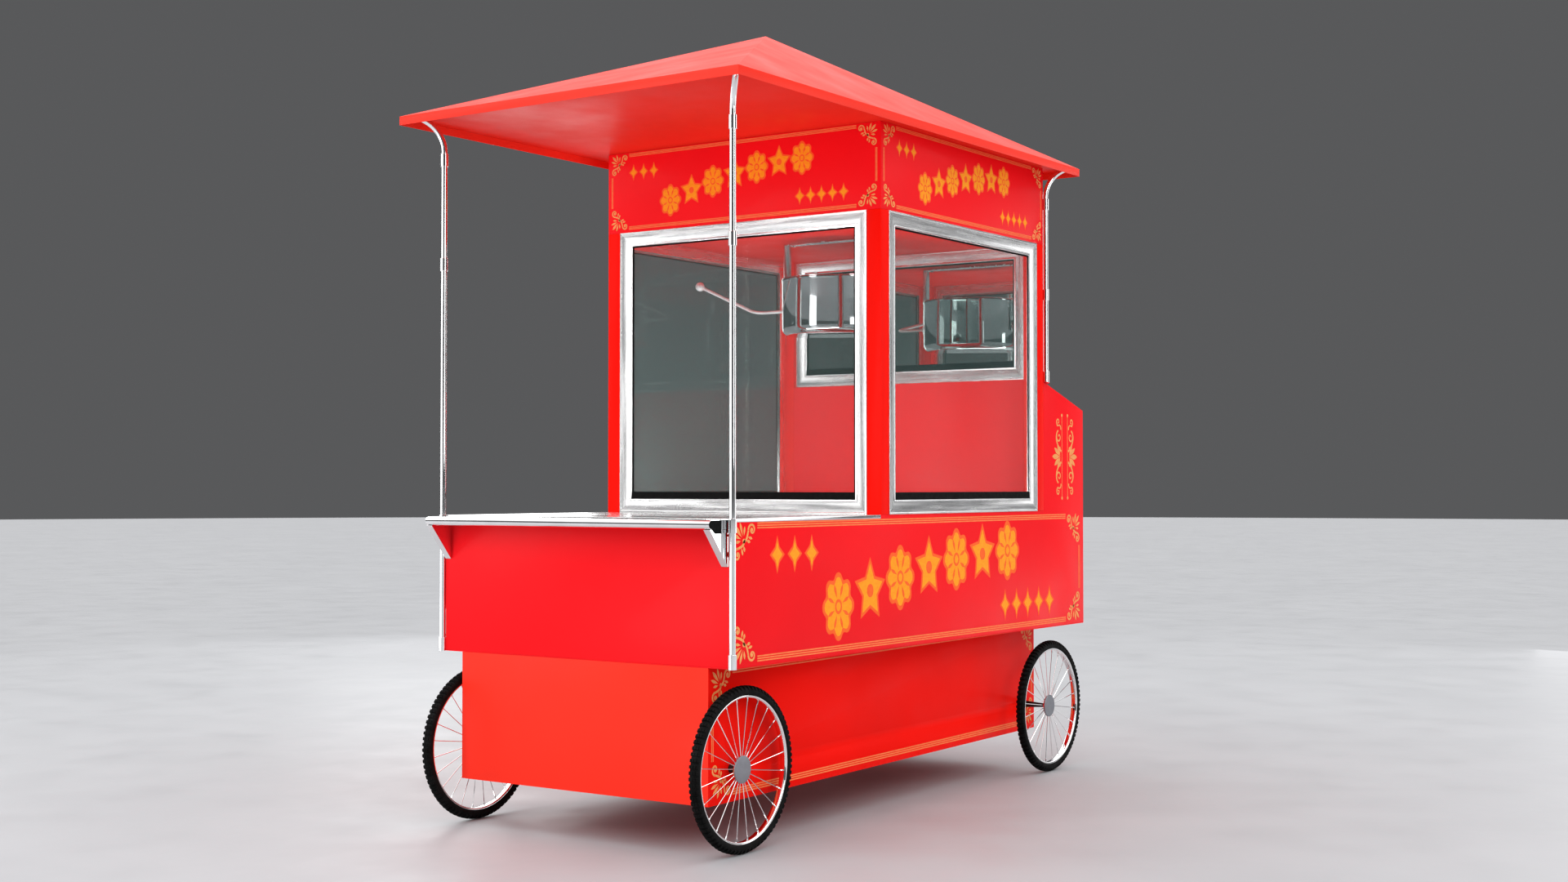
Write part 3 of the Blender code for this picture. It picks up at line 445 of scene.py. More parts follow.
def roof_tubes():
    for end in ("front", "rear"):
        for side in ("near", "far"):
            node = "roof_tube_%s_%s" % (end, side)
            low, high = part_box(node)
            sx = -1.0 if end == "front" else 1.0
            sy = -1.0 if side == "near" else 1.0
            x = (high.x if sx < 0 else low.x) + sx * COLLAR_RADIUS
            y = (high.y if sy < 0 else low.y) + sy * COLLAR_RADIUS
            out = Vector((sx, sy, 0.0)).normalized()
            collars = [(low.z, FOOT_COLLAR_TOP[end])]
            if end == "front":
                collars.append(COUNTER_COLLAR)
            collars += COLLARS
            tube(node, Vector((x, y, 0.0)), out, collars, high.z, end == "rear")


def tube(node, base, out, collars, top, sloped):
    """An upright with collars that bends outwards at the top; sloped cuts its foot to the console."""
    stations = []
    for low, high in collars:
        if low == collars[0][0]:
            stations.append((low, COLLAR_RADIUS))
        else:
            stations += [(low - COLLAR_STEP, TUBE_RADIUS), (low, COLLAR_RADIUS - COLLAR_EDGE),
                         (low + COLLAR_EDGE, COLLAR_RADIUS)]
        stations += [(high - COLLAR_EDGE, COLLAR_RADIUS), (high, COLLAR_RADIUS - COLLAR_EDGE),
                     (high + COLLAR_STEP, TUBE_RADIUS)]
    points = [base + Z * z for z, _ in stations]
    radii = [r for _, r in stations]
    for a, b in arc((BEND_RADIUS, BEND_START), BEND_RADIUS, 180.0, 99.0, 27):
        points.append(base + out * a + Z * b)
        radii.append(TUBE_RADIUS)
    bm = bmesh.new()
    sweep_into(bm, points, radii, 40)
    cut(bm, Vector((0, 0, top)), Z)
    if sloped:
        low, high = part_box("console_top")
        fall = math.atan2(CONSOLE_RISE, CONSOLE_RUN)
        cut(bm, Vector((low.x, 0.0, high.z + 0.0006)), Vector((-math.sin(fall), 0.0, -math.cos(fall))))
    piece(node + "_tube", bm, "chrome", CART, (node,), smooth=32.0)


def cut(bm, point, normal):
    """Removes what lies beyond a plane and closes the mesh there."""
    geom = list(bm.verts) + list(bm.edges) + list(bm.faces)
    done = bmesh.ops.bisect_plane(bm, geom=geom, dist=1e-6, plane_co=point, plane_no=normal, clear_outer=True)
    edges = [e for e in done["geom_cut"] if isinstance(e, bmesh.types.BMEdge)]
    bmesh.ops.contextual_create(bm, geom=edges)


SHELF_THICKNESS = 0.028
SHELF_WALL = 0.003
SHELF_END = 0.024
CAP_RADIUS = 0.0126
CAP_REACH = 0.0014
CAP_SINK = 0.001


def shelf():
    """Hollow board with a round nose and solid ends, black end caps and two gussets."""
    low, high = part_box("front_shelf")
    back, end, top = high.x, high.y, high.z
    under = top - SHELF_THICKNESS
    nose_radius = 0.5 * SHELF_THICKNESS
    nose = (low.x + nose_radius, under + nose_radius)
    solid = [(back, under), (back, top)] + arc(nose, nose_radius, 90.0, 270.0, 18)
    hollow = [(nose[0] + 0.010, under), (nose[0] + 0.010, top - SHELF_WALL),
              (back - SHELF_WALL, top - SHELF_WALL), (back - SHELF_WALL, under)]
    near_end, far_end = (-end, SHELF_END - end), (end - SHELF_END, end)

    def slab(bm, outline, span):
        prism_into(bm, outline, lambda a, b, e: (a, span[e], b))

    bm = bmesh.new()
    slab(bm, solid + hollow, (near_end[1], far_end[0]))
    slab(bm, solid, near_end)
    slab(bm, solid, far_end)
    piece("shelf_board", bm, "chrome", CART, ("front_shelf",), smooth=28.0)
    cap = [(nose[0] + 0.016, under - 0.012), (back - 0.036, under - 0.012), (back - 0.036, top - 0.0012)]
    cap += arc(nose, CAP_RADIUS, 90.0, 270.0, 12)
    near_cap, far_cap = (-end - CAP_REACH, CAP_SINK - end), (end - CAP_SINK, end + CAP_REACH)
    for tag, span in (("near", near_cap), ("far", far_cap)):
        bm = bmesh.new()
        slab(bm, cap, span)
        piece("shelf_end_cap_" + tag, bm, "seal", CART, bevel=0.0005)
    wedge = [(back, under - 0.0002), (back, low.z), (back - 0.003, low.z), (low.x + 0.004, under - 0.0002)]
    for tag, span in (("near", near_end), ("far", far_end)):
        bm = bmesh.new()
        slab(bm, wedge, span)
        piece("shelf_gusset_" + tag, bm, "chrome", CART, bevel=0.0010)


# Sections across a frame: distance in from its outer edge, and height over its outer plane.
FRAME_PROFILE = [(0.0, -0.0215), (0.0, -0.0010), (0.0010, 0.0), (0.0052, 0.0), (0.0062, -0.0008),
                 (0.0068, -0.0020), (0.0150, -0.0026), (0.0240, -0.0042), (0.0330, -0.0066),
                 (0.0405, -0.0092), (0.0430, -0.0092), (0.0440, -0.0080), (0.0468, -0.0076),
                 (0.0492, -0.0080), (0.0504, -0.0096), (0.0510, -0.0130), (0.0510, -0.0134),
                 (0.0430, -0.0134), (0.0430, -0.0215)]
SEAL_PROFILE = [(0.0505, -0.0134), (0.0505, -0.0112), (0.0530, -0.0106), (0.0552, -0.0112),
                (0.0562, -0.0134)]


RAIL_WIDTH = 0.0430
SILL_PROFILE = [(0.0, -0.0132), (0.0, -0.0088), (0.0015, -0.0078), (0.0255, -0.0088), (0.0277, -0.0104),
                (0.0281, -0.0132)]
SILL_OVER_EDGE = 0.0455
DOOR_EDGE = 0.8195
DOOR_OUTER = 0.586
HINGE = (0.8230, 0.5915)
HINGE_HEIGHTS = (("lower", 1.14), ("upper", 1.87))
KNUCKLE_HALF = 0.0145


def sill_strip(node, rect, face, out, body):
    """Wider black weather strip along the bottom of the opening."""
    ends = (rect[0] + RAIL_WIDTH, rect[1] - RAIL_WIDTH)
    edge = rect[2] + SILL_OVER_EDGE
    bm = bmesh.new()
    prism_into(bm, SILL_PROFILE, lambda a, b, e: face(ends[e], edge + a) + out * b)
    piece(node + "_sill_strip", bm, "seal", body, bevel=0.0005)


def glazing(node, pane, axis, sign, body):
    """Mitred moulding and black seal in place of a plain frame; the outer face looks along sign * axis."""
    low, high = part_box(node)
    out = axis * sign
    if axis is X:
        level = high.x if sign > 0 else low.x
        rect = (low.y, high.y, low.z, high.z)
        face = lambda u, v: Vector((level, u, v))
    else:
        level = low.y if sign < 0 else DOOR_OUTER
        rect = (low.x, DOOR_EDGE if body == "door" else high.x, low.z, high.z)
        face = lambda u, v: Vector((u, level, v))
    bm = bmesh.new()
    moulding_into(bm, FRAME_PROFILE, rect, face, out)
    moulding = piece(node + "_moulding", bm, "frame_u", body, (node,), smooth=24.0)
    moulding.data.materials.append(M["frame_v"])
    bm = bmesh.new()
    moulding_into(bm, SEAL_PROFILE, rect, face, out)
    piece(node + "_seal", bm, "seal", body, smooth=40.0)
    sill_strip(node, rect, face, out, body)
    coat(pane, "mirror" if "mirror" in pane else "glass")


def coat(node, material):
    """Gives a carried-over CAD node a material and leaves its mesh alone."""
    materials = NODES[node].data.materials
    materials.clear()
    materials.append(M[material])


def cabinet():
    glazing("front_frame", "front_glass", X, -1.0, CART)
    glazing("near_frame", "near_glass", Y, -1.0, CART)
    glazing("door_frame", "door_glass", Y, 1.0, "door")
    glazing("rear_frame", "rear_mirror", X, -1.0, CART)
    for tag, z in HINGE_HEIGHTS:
        refine("door_hinge_" + tag, "chrome", 0.0004)
        door_knuckle(tag, z)
        for dz in (-0.020, 0.020):
            hinge_screw(tag, 0, CART, (HINGE[0] + 0.019, 0.5855, z), dz)
        for dz in (-0.008, 0.008):
            hinge_screw(tag, 1, "door", (HINGE[0] - 0.016, 0.5884, z), dz)
    door_pull()


def door_knuckle(tag, z):
    """The door's leaf of a hinge: a plate that wraps round the pin."""
    hx, hy = HINGE
    arm = [(hx - 0.022, 0.5846), (hx - 0.0052, 0.5846), (hx, hy - 0.0052), (hx, hy + 0.0052),
           (hx - 0.0036, hy + 0.0040), (hx - 0.008, 0.5884), (hx - 0.022, 0.5884)]
    low, high = -KNUCKLE_HALF, KNUCKLE_HALF
    barrel = [(0.0026, low), (0.0052, low), (0.0052, high), (0.0026, high)]
    bm = bmesh.new()
    prism_into(bm, arm, lambda a, b, e: (a, b, z + (high if e else low)))
    lathe_into(bm, barrel, (hx, hy, z), Z, 32)
    piece("door_knuckle_" + tag, bm, "chrome", "door", smooth=35.0)


def hinge_screw(tag, leaf, body, at, dz):
    """Raised screw head, dz above the hinge's middle."""
    radius = 0.0026
    profile = [(0.0, 0.0), (radius, 0.0), (radius * 0.92, radius * 0.30), (radius * 0.6, radius * 0.46),
               (0.0, radius * 0.52)]
    bm = bmesh.new()
    lathe_into(bm, profile, (at[0], at[1], at[2] + dz), Y, 20, closed=False)
    name = "hinge_screw_%s_%d_%s" % (tag, leaf, "a" if dz < 0 else "b")
    piece(name, bm, "steel", body, smooth=50.0)


def door_pull():
    low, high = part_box("door_knob")
    centre = (low + high) * 0.5
    profile = [(0.0, 0.0), (0.0085, 0.0), (0.0088, 0.0012), (0.0070, 0.0024), (0.0046, 0.0034),
               (0.0042, 0.0100), (0.0050, 0.0150), (0.0090, 0.0182), (0.0116, 0.0215), (0.0120, 0.0245),
               (0.0112, 0.0272), (0.0086, 0.0292), (0.0045, 0.0299), (0.0, 0.0300)]
    bm = bmesh.new()
    lathe_into(bm, profile, (centre.x, low.y, centre.z), Y, 48, closed=False)
    piece("door_pull", bm, "chrome", "door", ("door_knob",), smooth=50.0)


# ------------------------------------------------------------------ kettle
POT_RADIUS = 0.200
POT_CORNER = 0.028
POT_WALL = 0.003
PIVOT_Z = 1.757
HANGER_PLATE_UNDER = 2.0050
CRANK_RADIUS = 0.0060
CRANK_BEND = 0.040
CRANK_REACH = 0.366
BALL_RADIUS = 0.0168
BALL_Z = 1.829


def kettle():
    low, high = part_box("kettle_pot")
    cx = 0.5 * (low.x + high.x)
    rise = high.z - low.z
    corner = (POT_RADIUS - POT_CORNER, POT_CORNER)
    profile = [(0.0, 0.0)] + arc(corner, POT_CORNER, -90.0, 0.0, 9)
    lip = ((0.0, 0.0120), (0.0012, 0.0100), (0.0026, 0.0060), (0.0022, 0.0020), (0.0, 0.0), (-POT_WALL, 0.0))
    profile += [(POT_RADIUS + grow, rise - drop) for grow, drop in lip]
    profile += arc(corner, POT_CORNER - POT_WALL, 0.0, -90.0, 9) + [(0.0, POT_WALL)]
    bm = bmesh.new()
    lathe_into(bm, profile, (cx, 0.0, low.z), Z, 128, closed=False)
    trunnion = [(0.0, -0.002), (0.0185, -0.002), (0.0185, 0.0095), (0.0175, 0.0115), (0.0080, 0.0120),
                (0.0080, 0.0228), (0.0072, 0.0235), (0.0, 0.0235)]
    for side in (-1.0, 1.0):
        boss = [(radius, POT_RADIUS + height) for radius, height in trunnion]
        lathe_into(bm, boss, (cx, 0.0, PIVOT_Z), Y * side, 48, closed=False)
    # The bowl takes the darker steel copy, which is a painted dark reflection.
    piece("kettle_bowl", bm, "bowl", "kettle", ("kettle_pot",), smooth=34.0)
    refine("kettle_yoke", "steel", 0.0007)
    hanger_bolts(cx)
    crank(cx)
    refine("kettle_cover", "spun", 0.0006, "kettle")
    piece("kettle_flap", solid_copy("kettle_lid"), "spun", "lid", ("kettle_lid",), smooth=30.0)
    refine("stirrer", "steel", 0.0005, "stirrer_shaft")


def hanger_bolts(cx):
    hexagon = [(0.0055 * math.cos(t), 0.0055 * math.sin(t)) for t in circle(6)]
    for side in (-1.0, 1.0):
        for dx in (-0.012, 0.012):
            x, y = cx + dx, side * 0.195
            levels = (HANGER_PLATE_UNDER, HANGER_PLATE_UNDER - 0.0042)
            bm = bmesh.new()
            prism_into(bm, hexagon, lambda a, b, e: (x + a, y + b, levels[e]))
            name = "hanger_bolt_%s_%s" % ("near" if side < 0 else "far", "a" if dx < 0 else "b")
            piece(name, bm, "steel", CART, bevel=0.0005)


def crank(cx):
    """Bent handle with a collar at the trunnion and a ball at its end."""
    low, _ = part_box("kettle_handle")
    start = Vector((cx, low.y, PIVOT_Z))
    corner = Vector((cx, CRANK_REACH, PIVOT_Z))
    ball = Vector((low.x + 0.017, CRANK_REACH, BALL_Z))
    arm = (ball - corner).normalized()
    collar = ((0.0, 0.0112), (0.0008, 0.0120), (0.0092, 0.0120), (0.0100, 0.0112), (0.0102, CRANK_RADIUS))
    points = [start + Y * distance for distance, _ in collar]
    radii = [radius for _, radius in collar]
    for a, b in arc((0.0, CRANK_BEND), CRANK_BEND, -90.0, 0.0, 18):
        points.append(corner - Y * (CRANK_BEND - a) + arm * b)
        radii.append(CRANK_RADIUS)
    points += [ball - arm * 0.0200, ball - arm * 0.0196, ball - arm * 0.0145]
    radii += [CRANK_RADIUS, 0.0072, 0.0072]
    bm = bmesh.new()
    sweep_into(bm, points, radii, 28)
    place = Matrix.Translation(ball)
    bmesh.ops.create_uvsphere(bm, u_segments=40, v_segments=24, radius=BALL_RADIUS, matrix=place)
    # The crank takes the near-white finish, which is a painted highlight.
    piece("kettle_crank", bm, "painted_highlight_white", "kettle", ("kettle_handle",), smooth=40.0)


# ------------------------------------------------------------------ painted ornament
PAINT_FOOT = 0.00004
PAINT_HEIGHT = 0.00022
PAINT_STEP = 0.00002


class Art:
    """Thin painted shapes on a panel: u runs to the viewer's right, v up, both in metres."""

    def __init__(self, origin, right, up=Z):
        self.origin = Vector(origin)
        self.right = Vector(right).normalized()
        self.up = Vector(up)
        self.out = self.right.cross(self.up)
        self.sets = {}
        self.count = 0

    def spot(self, u, v, height):
        return self.origin + self.right * u + self.up * v + self.out * height

    def layer(self, tint, raise_by):
        """The tint's mesh and a height that differs from the last shapes', so that no two tops coincide."""
        self.count += 1
        bm = self.sets.setdefault(tint, bmesh.new())
        return bm, PAINT_HEIGHT + raise_by + PAINT_STEP * (self.count % 5)

    def shape(self, tint, outline, raise_by=0.0):
        bm, height = self.layer(tint, raise_by)
        prism_into(bm, outline, lambda a, b, e: self.spot(a, b, height if e else PAINT_FOOT))

    def stroke(self, tint, points, widths, raise_by=0.0):
        """A ribbon along the points whose width changes from point to point."""
        bm, height = self.layer(tint, raise_by)
        rings = []
        last = len(points) - 1
        for i, (u, v) in enumerate(points):
            a, b = points[max(i - 1, 0)], points[min(i + 1, last)]
            du, dv = b[0] - a[0], b[1] - a[1]
            norm = math.hypot(du, dv) or 1.0
            half = 0.5 * widths[i]
            ou, ov = -dv / norm * half, du / norm * half
            section = ((1, height), (-1, height), (-1, PAINT_FOOT), (1, PAINT_FOOT))
            rings.append([bm.verts.new(self.spot(u + side * ou, v + side * ov, level))
                          for side, level in section])
        skin_into(bm, rings)

    def line(self, tint, a, b, width):
        self.stroke(tint, [a, b], [width, width])

    def band(self, a, b, across, lines):
        """Parallel lines from a to b, spread by the across direction."""
        for offset, width in lines:
            du, dv = across[0] * offset, across[1] * offset
            self.line("gold", (a[0] + du, a[1] + dv), (b[0] + du, b[1] + dv), width)

    def disc(self, tint, centre, radius, raise_by=0.0, count=24, stretch=1.0):
        outline = [(centre[0] + radius * math.cos(t), centre[1] + stretch * radius * math.sin(t))
                   for t in circle(count)]
        self.shape(tint, outline, raise_by)

    def leaf(self, tint, base, tip, width, raise_by=0.0):
        """A pointed petal, widest past its middle."""
        steps = 9
        points, widths = [], []
        for k in range(steps + 1):
            t = k / steps
            points.append((base[0] + (tip[0] - base[0]) * t, base[1] + (tip[1] - base[1]) * t))
            widths.append(width * max(math.sin(math.pi * t ** 1.35), 0.05))
        self.stroke(tint, points, widths, raise_by)

    def finish(self, name, body=CART):
        for tint, bm in self.sets.items():
            piece("%s_%s" % (name, tint), bm, tint, body)


def spiral(centre, start, turn, outer, inner, steps=22):
    """Points of a scroll that winds in from the outer radius."""
    points = []
    for k in range(steps + 1):
        t = k / steps
        radius = outer + (inner - outer) * t ** 0.8
        angle = start + turn * t
        points.append((centre[0] + radius * math.cos(angle), centre[1] + radius * math.sin(angle)))
    return points


def curve(a, b, c, d, steps=14):
    """Points of a cubic curve from a to d, drawn towards b and c."""
    points = []
    for k in range(steps + 1):
        t = k / steps
        s = 1.0 - t
        weights = (s ** 3, 3 * s * s * t, 3 * s * t * t, t ** 3)
        points.append(tuple(sum(w * p[i] for w, p in zip(weights, (a, b, c, d))) for i in (0, 1)))
    return points


def taper(points, thick, thin):
    last = len(points) - 1
    return [thick + (thin - thick) * (k / last) for k in range(last + 1)]


def corner_scroll(art, u, v, su, sv, size, tint="tan"):
    """Two scrolls and a palmette in a corner; su and sv point into the panel."""
    def at(a, b):
        return (u + su * a * size, v + sv * b * size)

    def draw(points, thick, thin):
        art.stroke(tint, [at(a, b) for a, b in points], [w * size for w in taper(points, thick, thin)])

    def petal(centre, angle, near, reach, width):
        ray = (math.cos(math.radians(angle)), math.sin(math.radians(angle)))
        base, tip = (at(centre + distance * ray[0], centre + distance * ray[1]) for distance in (near, reach))
        art.leaf(tint, base, tip, width * size)

    eye = (0.815, 0.185)
    stem = curve((0.47, 0.47), (0.60, 0.47), (0.62, 0.30), (0.655, 0.20))
    coil = spiral(eye, math.radians(178), math.radians(470), 0.165, 0.030, 30)
    leaves = (((0.58, 0.45), (0.74, 0.50), 0.085), ((0.63, 0.36), (0.83, 0.415), 0.075))
    for order in (1, -1):
        draw([p[::order] for p in stem], 0.075, 0.060)
        draw([p[::order] for p in coil], 0.066, 0.036)
        art.disc(tint, at(*eye[::order]), 0.046 * size)
        for base, tip, width in leaves:
            art.leaf(tint, at(*base[::order]), at(*tip[::order]), width * size)
    fan = ((0.0, 0.11, 0.55, 0.115), (26.0, 0.12, 0.49, 0.092), (53.0, 0.12, 0.36, 0.078))
    for spread, near, reach, width in fan:
        for angle in sorted({225.0 - spread, 225.0 + spread}):
            petal(0.45, angle, near, reach, width)
    art.disc(tint, at(0.465, 0.465), 0.060 * size)


def rosette(art, centre, radius, stretch=1.0, petals=8):
    """A round flower in two tints with a lobed edge."""
    def polar(r, t):
        return (centre[0] + r * math.cos(t), centre[1] + stretch * r * math.sin(t))

    def ring(scale, depth):
        return [polar(radius * scale * (1.0 - depth * abs(math.sin(0.5 * petals * t)) ** 3.0), t)
                for t in circle(10 * petals)]

    art.shape("orange", ring(1.0, 0.17))
    art.shape("amber", ring(0.86, 0.20), 0.0002)
    for k in range(petals):
        t = 2 * math.pi * (k + 0.5) / petals
        art.leaf("orange", polar(0.26 * radius, t), polar(0.70 * radius, t), 0.13 * radius, 0.0004)
    art.disc("orange", centre, 0.22 * radius, 0.0004, 32, stretch)
    art.disc("amber", centre, 0.13 * radius, 0.0006, 24, stretch)


def star(art, centre, radius, stretch=1.0, tips=5):
    """A star in two tints with a dot in its middle."""
    def outline(scale):
        points = []
        for k in range(2 * tips):
            t = math.pi / 2 + math.pi * k / tips
            r = radius * scale * (1.0 if k % 2 == 0 else 0.52)
            points.append((centre[0] + r * math.cos(t), centre[1] + stretch * r * math.sin(t)))
        return points

    art.shape("orange", outline(1.0))
    art.shape("amber", outline(0.80), 0.0002)
    art.disc("orange", centre, 0.20 * radius, 0.0004, 24, stretch)


LOZENGE = ((1, 0), (0.28, 0.42), (0, 1), (-0.28, 0.42), (-1, 0), (-0.28, -0.42), (0, -1), (0.28, -0.42))


def lozenge(art, centre, half_u, half_v):
    for tint, scale, raise_by in (("orange", 1.0, 0.0), ("amber", 0.70, 0.0002)):
        outline = [(centre[0] + a * half_u * scale, centre[1] + b * half_v * scale) for a, b in LOZENGE]
        art.shape(tint, outline, raise_by)


LINE_WIDTH = 0.0042
LINE_PITCH = 0.0071
SIDE_LINE_GAP = 1.05


def border(art, width, height, margin, size, scale):
    """Corner scrolls joined by triple lines along the top and bottom and by double lines at the ends."""
    lines = [(scale * (0.5 * LINE_WIDTH + LINE_PITCH * k), scale * LINE_WIDTH) for k in range(3)]
    left, right, low, high = margin[0], width - margin[1], margin[2], height - margin[3]
    gap = size * SIDE_LINE_GAP
    art.band((left + gap, low), (right - gap, low), (0, 1), lines)
    art.band((left + gap, high), (right - gap, high), (0, -1), lines)
    art.band((left, low + gap), (left, high - gap), (1, 0), lines[:2])
    art.band((right, low + gap), (right, high - gap), (-1, 0), lines[:2])
    for u, v, su, sv in ((left, low, 1, 1), (right, low, -1, 1), (right, high, -1, -1), (left, high, 1, -1)):
        corner_scroll(art, u, v, su, sv, size)


def centrepiece(art, width, height, big):
    """Rosettes and stars climbing the panel, with small lozenges above and below them."""
    for k in range(7):
        t = k / 6.0
        u = width * (0.245 + 0.485 * t)
        v = height * (0.350 + 0.62 * t - 0.29 * t * t)
        if k % 2:
            star(art, (u, v), big * 1.04, 1.12)
        else:
            rosette(art, (u, v), big * 0.98, 1.18)
    for first, pitch, count, level in ((0.100, 0.040, 3, 0.745), (0.722, 0.038, 5, 0.235)):
        for k in range(count):
            lozenge(art, (width * (first + pitch * k), height * level), big * 0.42, big * 0.62)


def console_scrolls(art, u, sign, low, high):
    """Upright ornament: a line with a palmette and scrolls on one side."""
    mid = 0.5 * (low + high)
    art.line("tan", (u, low), (u, high), 0.0026)
    for v in (low, high):
        art.disc("tan", (u, v), 0.0062)
    palmette = ((0, 0.085, 0.021), (28, 0.072, 0.017), (-28, 0.072, 0.017), (54, 0.055, 0.014),
                (-54, 0.055, 0.014))
    for angle, reach, width in palmette:
        ray = (math.cos(math.radians(angle)), math.sin(math.radians(angle)))
        base = (u + sign * (0.012 + 0.004 * ray[0]), mid + 0.004 * ray[1])
        tip = (u + sign * (0.012 + reach * ray[0] * 0.82), mid + reach * ray[1])
        art.leaf("tan", base, tip, width)
    strokes = ((curve((0.006, 0.02), (0.052, 0.05), (0.062, 0.085), (0.030, 0.100)), 0.009, 0.006),
               (spiral((0.026, 0.076), math.radians(75), math.radians(-430), 0.025, 0.004, 26), 0.008, 0.004),
               (curve((0.010, 0.104), (0.006, 0.118), (0.020, 0.126), (0.036, 0.118)), 0.007, 0.005),
               (spiral((0.032, 0.134), math.radians(-80), math.radians(400), 0.016, 0.003, 22), 0.007, 0.004))
    for up in (-1.0, 1.0):
        for points, thick, thin in strokes:
            art.stroke("tan", [(u + sign * a, mid + up * b) for a, b in points], taper(points, thick, thin))
        art.disc("tan", (u + sign * 0.018, mid + up * (high - low) * 0.10), 0.0065)


COUNTER_Z = 1.0
CONSOLE_LINES = (2.1535, 2.2015)
CONSOLE_LINE_ENDS = (1.0478, 1.3666)
SIGN_WIDTH, SIGN_DEPTH = 1.166, 1.168
CHASSIS_HALF_FRONT, CHASSIS_HALF_REAR = 0.498, 0.425


def side_art():
    (x0, y0, z0), (x1, y1, _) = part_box("body_floor")
    width, height = x1 - x0, COUNTER_Z - z0
    low, high = (z - z0 for z in CONSOLE_LINE_ENDS)
    for tag, y, right in (("near", y0, X), ("far", y1, -X)):
        near = right is X
        art = Art((x0 if near else x1, y, z0), right)
        margins = (0.007, 0.032) if near else (0.032, 0.007)
        border(art, width, height, margins + (0.0141, 0.0134), 0.117, 1.0)
        centrepiece(art, width, height, 0.094)
        for from_front, sign in zip(CONSOLE_LINES, (-1.0, 1.0)):
            u = from_front if near else width - from_front
            console_scrolls(art, u, sign if near else -sign, low, high)
        art.finish("side_art_" + tag)


def sign_art():
    front_low, front_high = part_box("sign_front")
    near_low, near_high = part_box("sign_near")
    signs = (("front", -Y, front_low.x, front_high.y, SIGN_WIDTH),
             ("near", X, front_low.x, near_low.y, SIGN_DEPTH),
             ("far", -X, near_high.x, front_high.y, SIGN_DEPTH),
             ("rear", Y, near_high.x, front_low.y, SIGN_WIDTH))
    for tag, right, x, y, width in signs:
        low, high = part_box("sign_" + tag)
        height = high.z - low.z
        art = Art((x, y, low.z), right)
        border(art, width, height, (0.0145, 0.0145, 0.010, 0.004), 0.078, 0.65)
        centrepiece(art, width, height, 0.050)
        art.finish("sign_art_" + tag)


def chassis_art():
    low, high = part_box("chassis")
    for tag, side in (("near", -1.0), ("far", 1.0)):
        front = Vector((low.x, side * CHASSIS_HALF_FRONT, low.z))
        rear = Vector((high.x, side * CHASSIS_HALF_REAR, low.z))
        left, right = (front, rear) if side < 0 else (rear, front)
        art = Art(left, right - left)
        border(art, (right - left).length, high.z - low.z, (0.016, 0.016, 0.020, 0.006), 0.105, 1.0)
        art.finish("chassis_art_" + tag)


# ------------------------------------------------------------------ painted panels and small fittings
def panels():
    for node in ("side_panel_near", "side_panel_far", "front_panel", "console_rear_panel", "console_top",
                 "body_floor", "sign_front", "sign_near", "sign_far", "sign_rear", "rear_panel", "rear_wall"):
        refine(node, "crimson", 0.0007)
    for node in ("corner_post_front_near", "corner_post_front_far", "corner_post_rear_near",
                 "corner_post_rear_far", "cabinet_ceiling"):
        refine(node, "vermilion", 0.0010)
    chassis = refine("chassis", "vermilion", 0.0008)
    chassis.data.materials.append(M["vermilion_lit_copy"])
    # Painted light: faces looking to the front get the lighter copy of the chassis paint, and the sides keep
    # the plain vermilion.
    for face in chassis.data.polygons:
        face.material_index = 1 if face.normal.x < -0.99 else 0
    refine("roof_shell", "roof", 0.0008)
    refine("roof_soffit", "soffit", 0.0003)
    refine("counter_top", "counter", 0.0012, steps=3)
    refine("cabinet_floor", "counter", 0.0006)
    for node in ("axle_front", "axle_rear"):
        coat(node, "black")


def switches():
    refine("switch_plate", "steel", 0.0006)
    for k in (1, 2, 3):
        refine("rocker_%d" % k, "plastic", 0.0006, "rocker_%d_body" % k)


# ------------------------------------------------------------------ studio
FLOOR_RADIUS = 60.0
TALL_BOX = (2.0, 4.4)


def camera():
    """The photo's camera, fitted to its straight edges."""
    data = bpy.data.cameras.new("camera")
    data.lens = 43.815
    data.sensor_width = 36.0
    data.clip_end = 200.0
    obj = bpy.data.objects.new("camera", data)
    bpy.context.scene.collection.objects.link(obj)
    obj.location = (-5.6307, -3.8866, 1.0967)
    obj.rotation_euler = (math.radians(91.3326), 0.0, math.radians(-55.3352))
    bpy.context.scene.camera = obj


def area_light(name, at, aim, size, power):
    data = bpy.data.lights.new(name, "AREA")
    data.shape = "RECTANGLE"
    data.size, data.size_y = size
    data.energy = power
    obj = bpy.data.objects.new(name, data)
    bpy.context.scene.collection.objects.link(obj)
    obj.location = at
    obj.visible_camera = False
    obj.rotation_euler = (Vector(aim) - Vector(at)).to_track_quat("-Z", "Y").to_euler()


def floor():
    bm = bmesh.new()
    bmesh.ops.create_circle(bm, cap_ends=True, segments=96, radius=FLOOR_RADIUS)
    mesh = bpy.data.meshes.new("studio_floor")
    bm.to_mesh(mesh)
    bm.free()
    s = Shader("floor", (0.38, 0.385, 0.40), 0.5, Specular_IOR_Level=0.3)
    s.tone(s.noise(0.8, 4.0), (0.37, 0.375, 0.39), (0.395, 0.40, 0.415))
    s.gloss(s.noise(3.0, 4.0), 0.42, 0.60)
    mesh.materials.append(s.mat)
    obj = bpy.data.objects.new("studio_floor", mesh)
    bpy.context.scene.collection.objects.link(obj)
    obj.location = (0.0, 0.0, -0.0005)


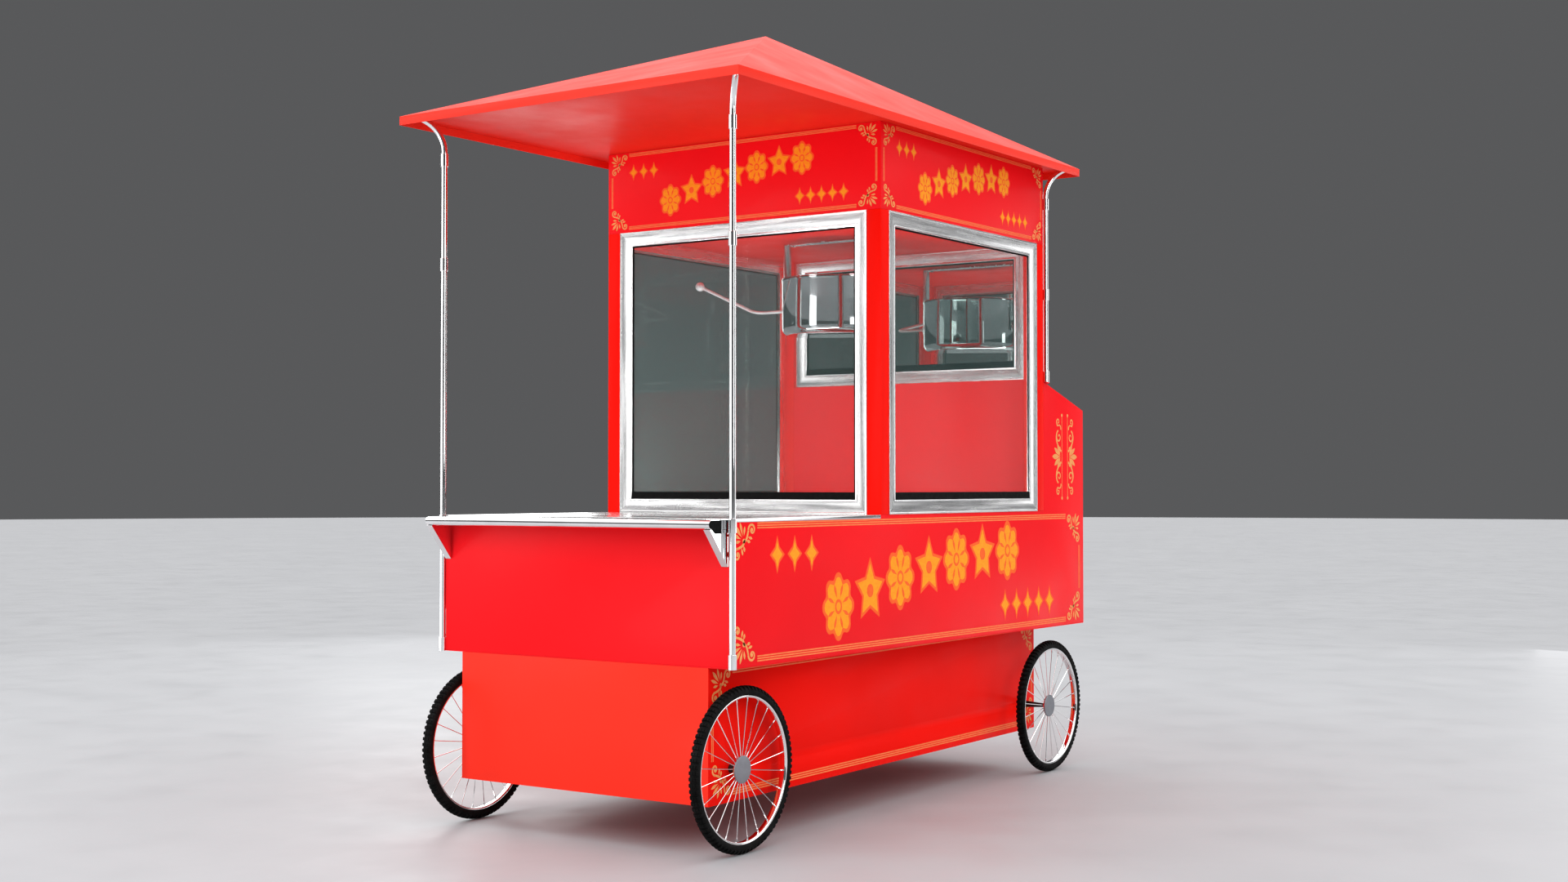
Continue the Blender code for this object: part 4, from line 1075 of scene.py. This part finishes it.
def sky():
    """Dark grey near the horizon and white overhead."""
    world = bpy.data.worlds.new("studio")
    bpy.context.scene.world = world
    world.use_nodes = True
    tree = world.node_tree
    back = tree.nodes["Background"]
    back.inputs["Strength"].default_value = 1.9
    coord = tree.nodes.new("ShaderNodeTexCoord")
    split = tree.nodes.new("ShaderNodeSeparateXYZ")
    half = tree.nodes.new("ShaderNodeMath")
    half.operation = "MULTIPLY_ADD"
    half.inputs[1].default_value = 0.5
    half.inputs[2].default_value = 0.5
    ramp = tree.nodes.new("ShaderNodeValToRGB")
    dark, light = ramp.color_ramp.elements
    dark.position = 0.635
    dark.color = (0.052, 0.0525, 0.054, 1.0)
    light.position = 0.82
    light.color = (1.0, 1.0, 1.0, 1.0)
    tree.links.new(coord.outputs["Generated"], split.inputs["Vector"])
    tree.links.new(split.outputs["Z"], half.inputs[0])
    tree.links.new(half.outputs["Value"], ramp.inputs["Fac"])
    tree.links.new(ramp.outputs["Color"], back.inputs["Color"])


def lights():
    """Tall soft boxes either side of a dark gap, which the mirror and the panes reflect."""
    area_light("camera_box", (-2.4, -7.0, 3.2), (0.0, 0.0, 1.3), (1.3, 4.0), 126.0)
    area_light("front_box_a", (-6.6, 1.9, 2.2), (-0.3, 0.5, 1.4), TALL_BOX, 150.0)
    area_light("front_box_b", (-4.4, 6.0, 2.2), (-0.3, -0.5, 1.4), TALL_BOX, 80.0)
    area_light("near_box_a", (7.4, -1.7, 2.2), (-0.2, -0.6, 1.4), TALL_BOX, 22.0)
    area_light("near_box_b", (5.2, -6.1, 2.2), (0.8, -0.6, 1.4), TALL_BOX, 70.0)
    area_light("cabinet_box", (-0.20, 0.0, 1.06), (0.60, 0.0, 1.90), (0.9, 0.10), 6.5)
    area_light("back_box", (4.5, 6.0, 2.6), (0.0, 0.0, 1.4), (2.0, 3.0), 50.0)


bpy.context.scene.view_settings.view_transform = "Standard"
camera()
floor()
sky()
lights()
panels()
wheels()
roof_tubes()
shelf()
cabinet()
kettle()
switches()
side_art()
sign_art()
chassis_art()
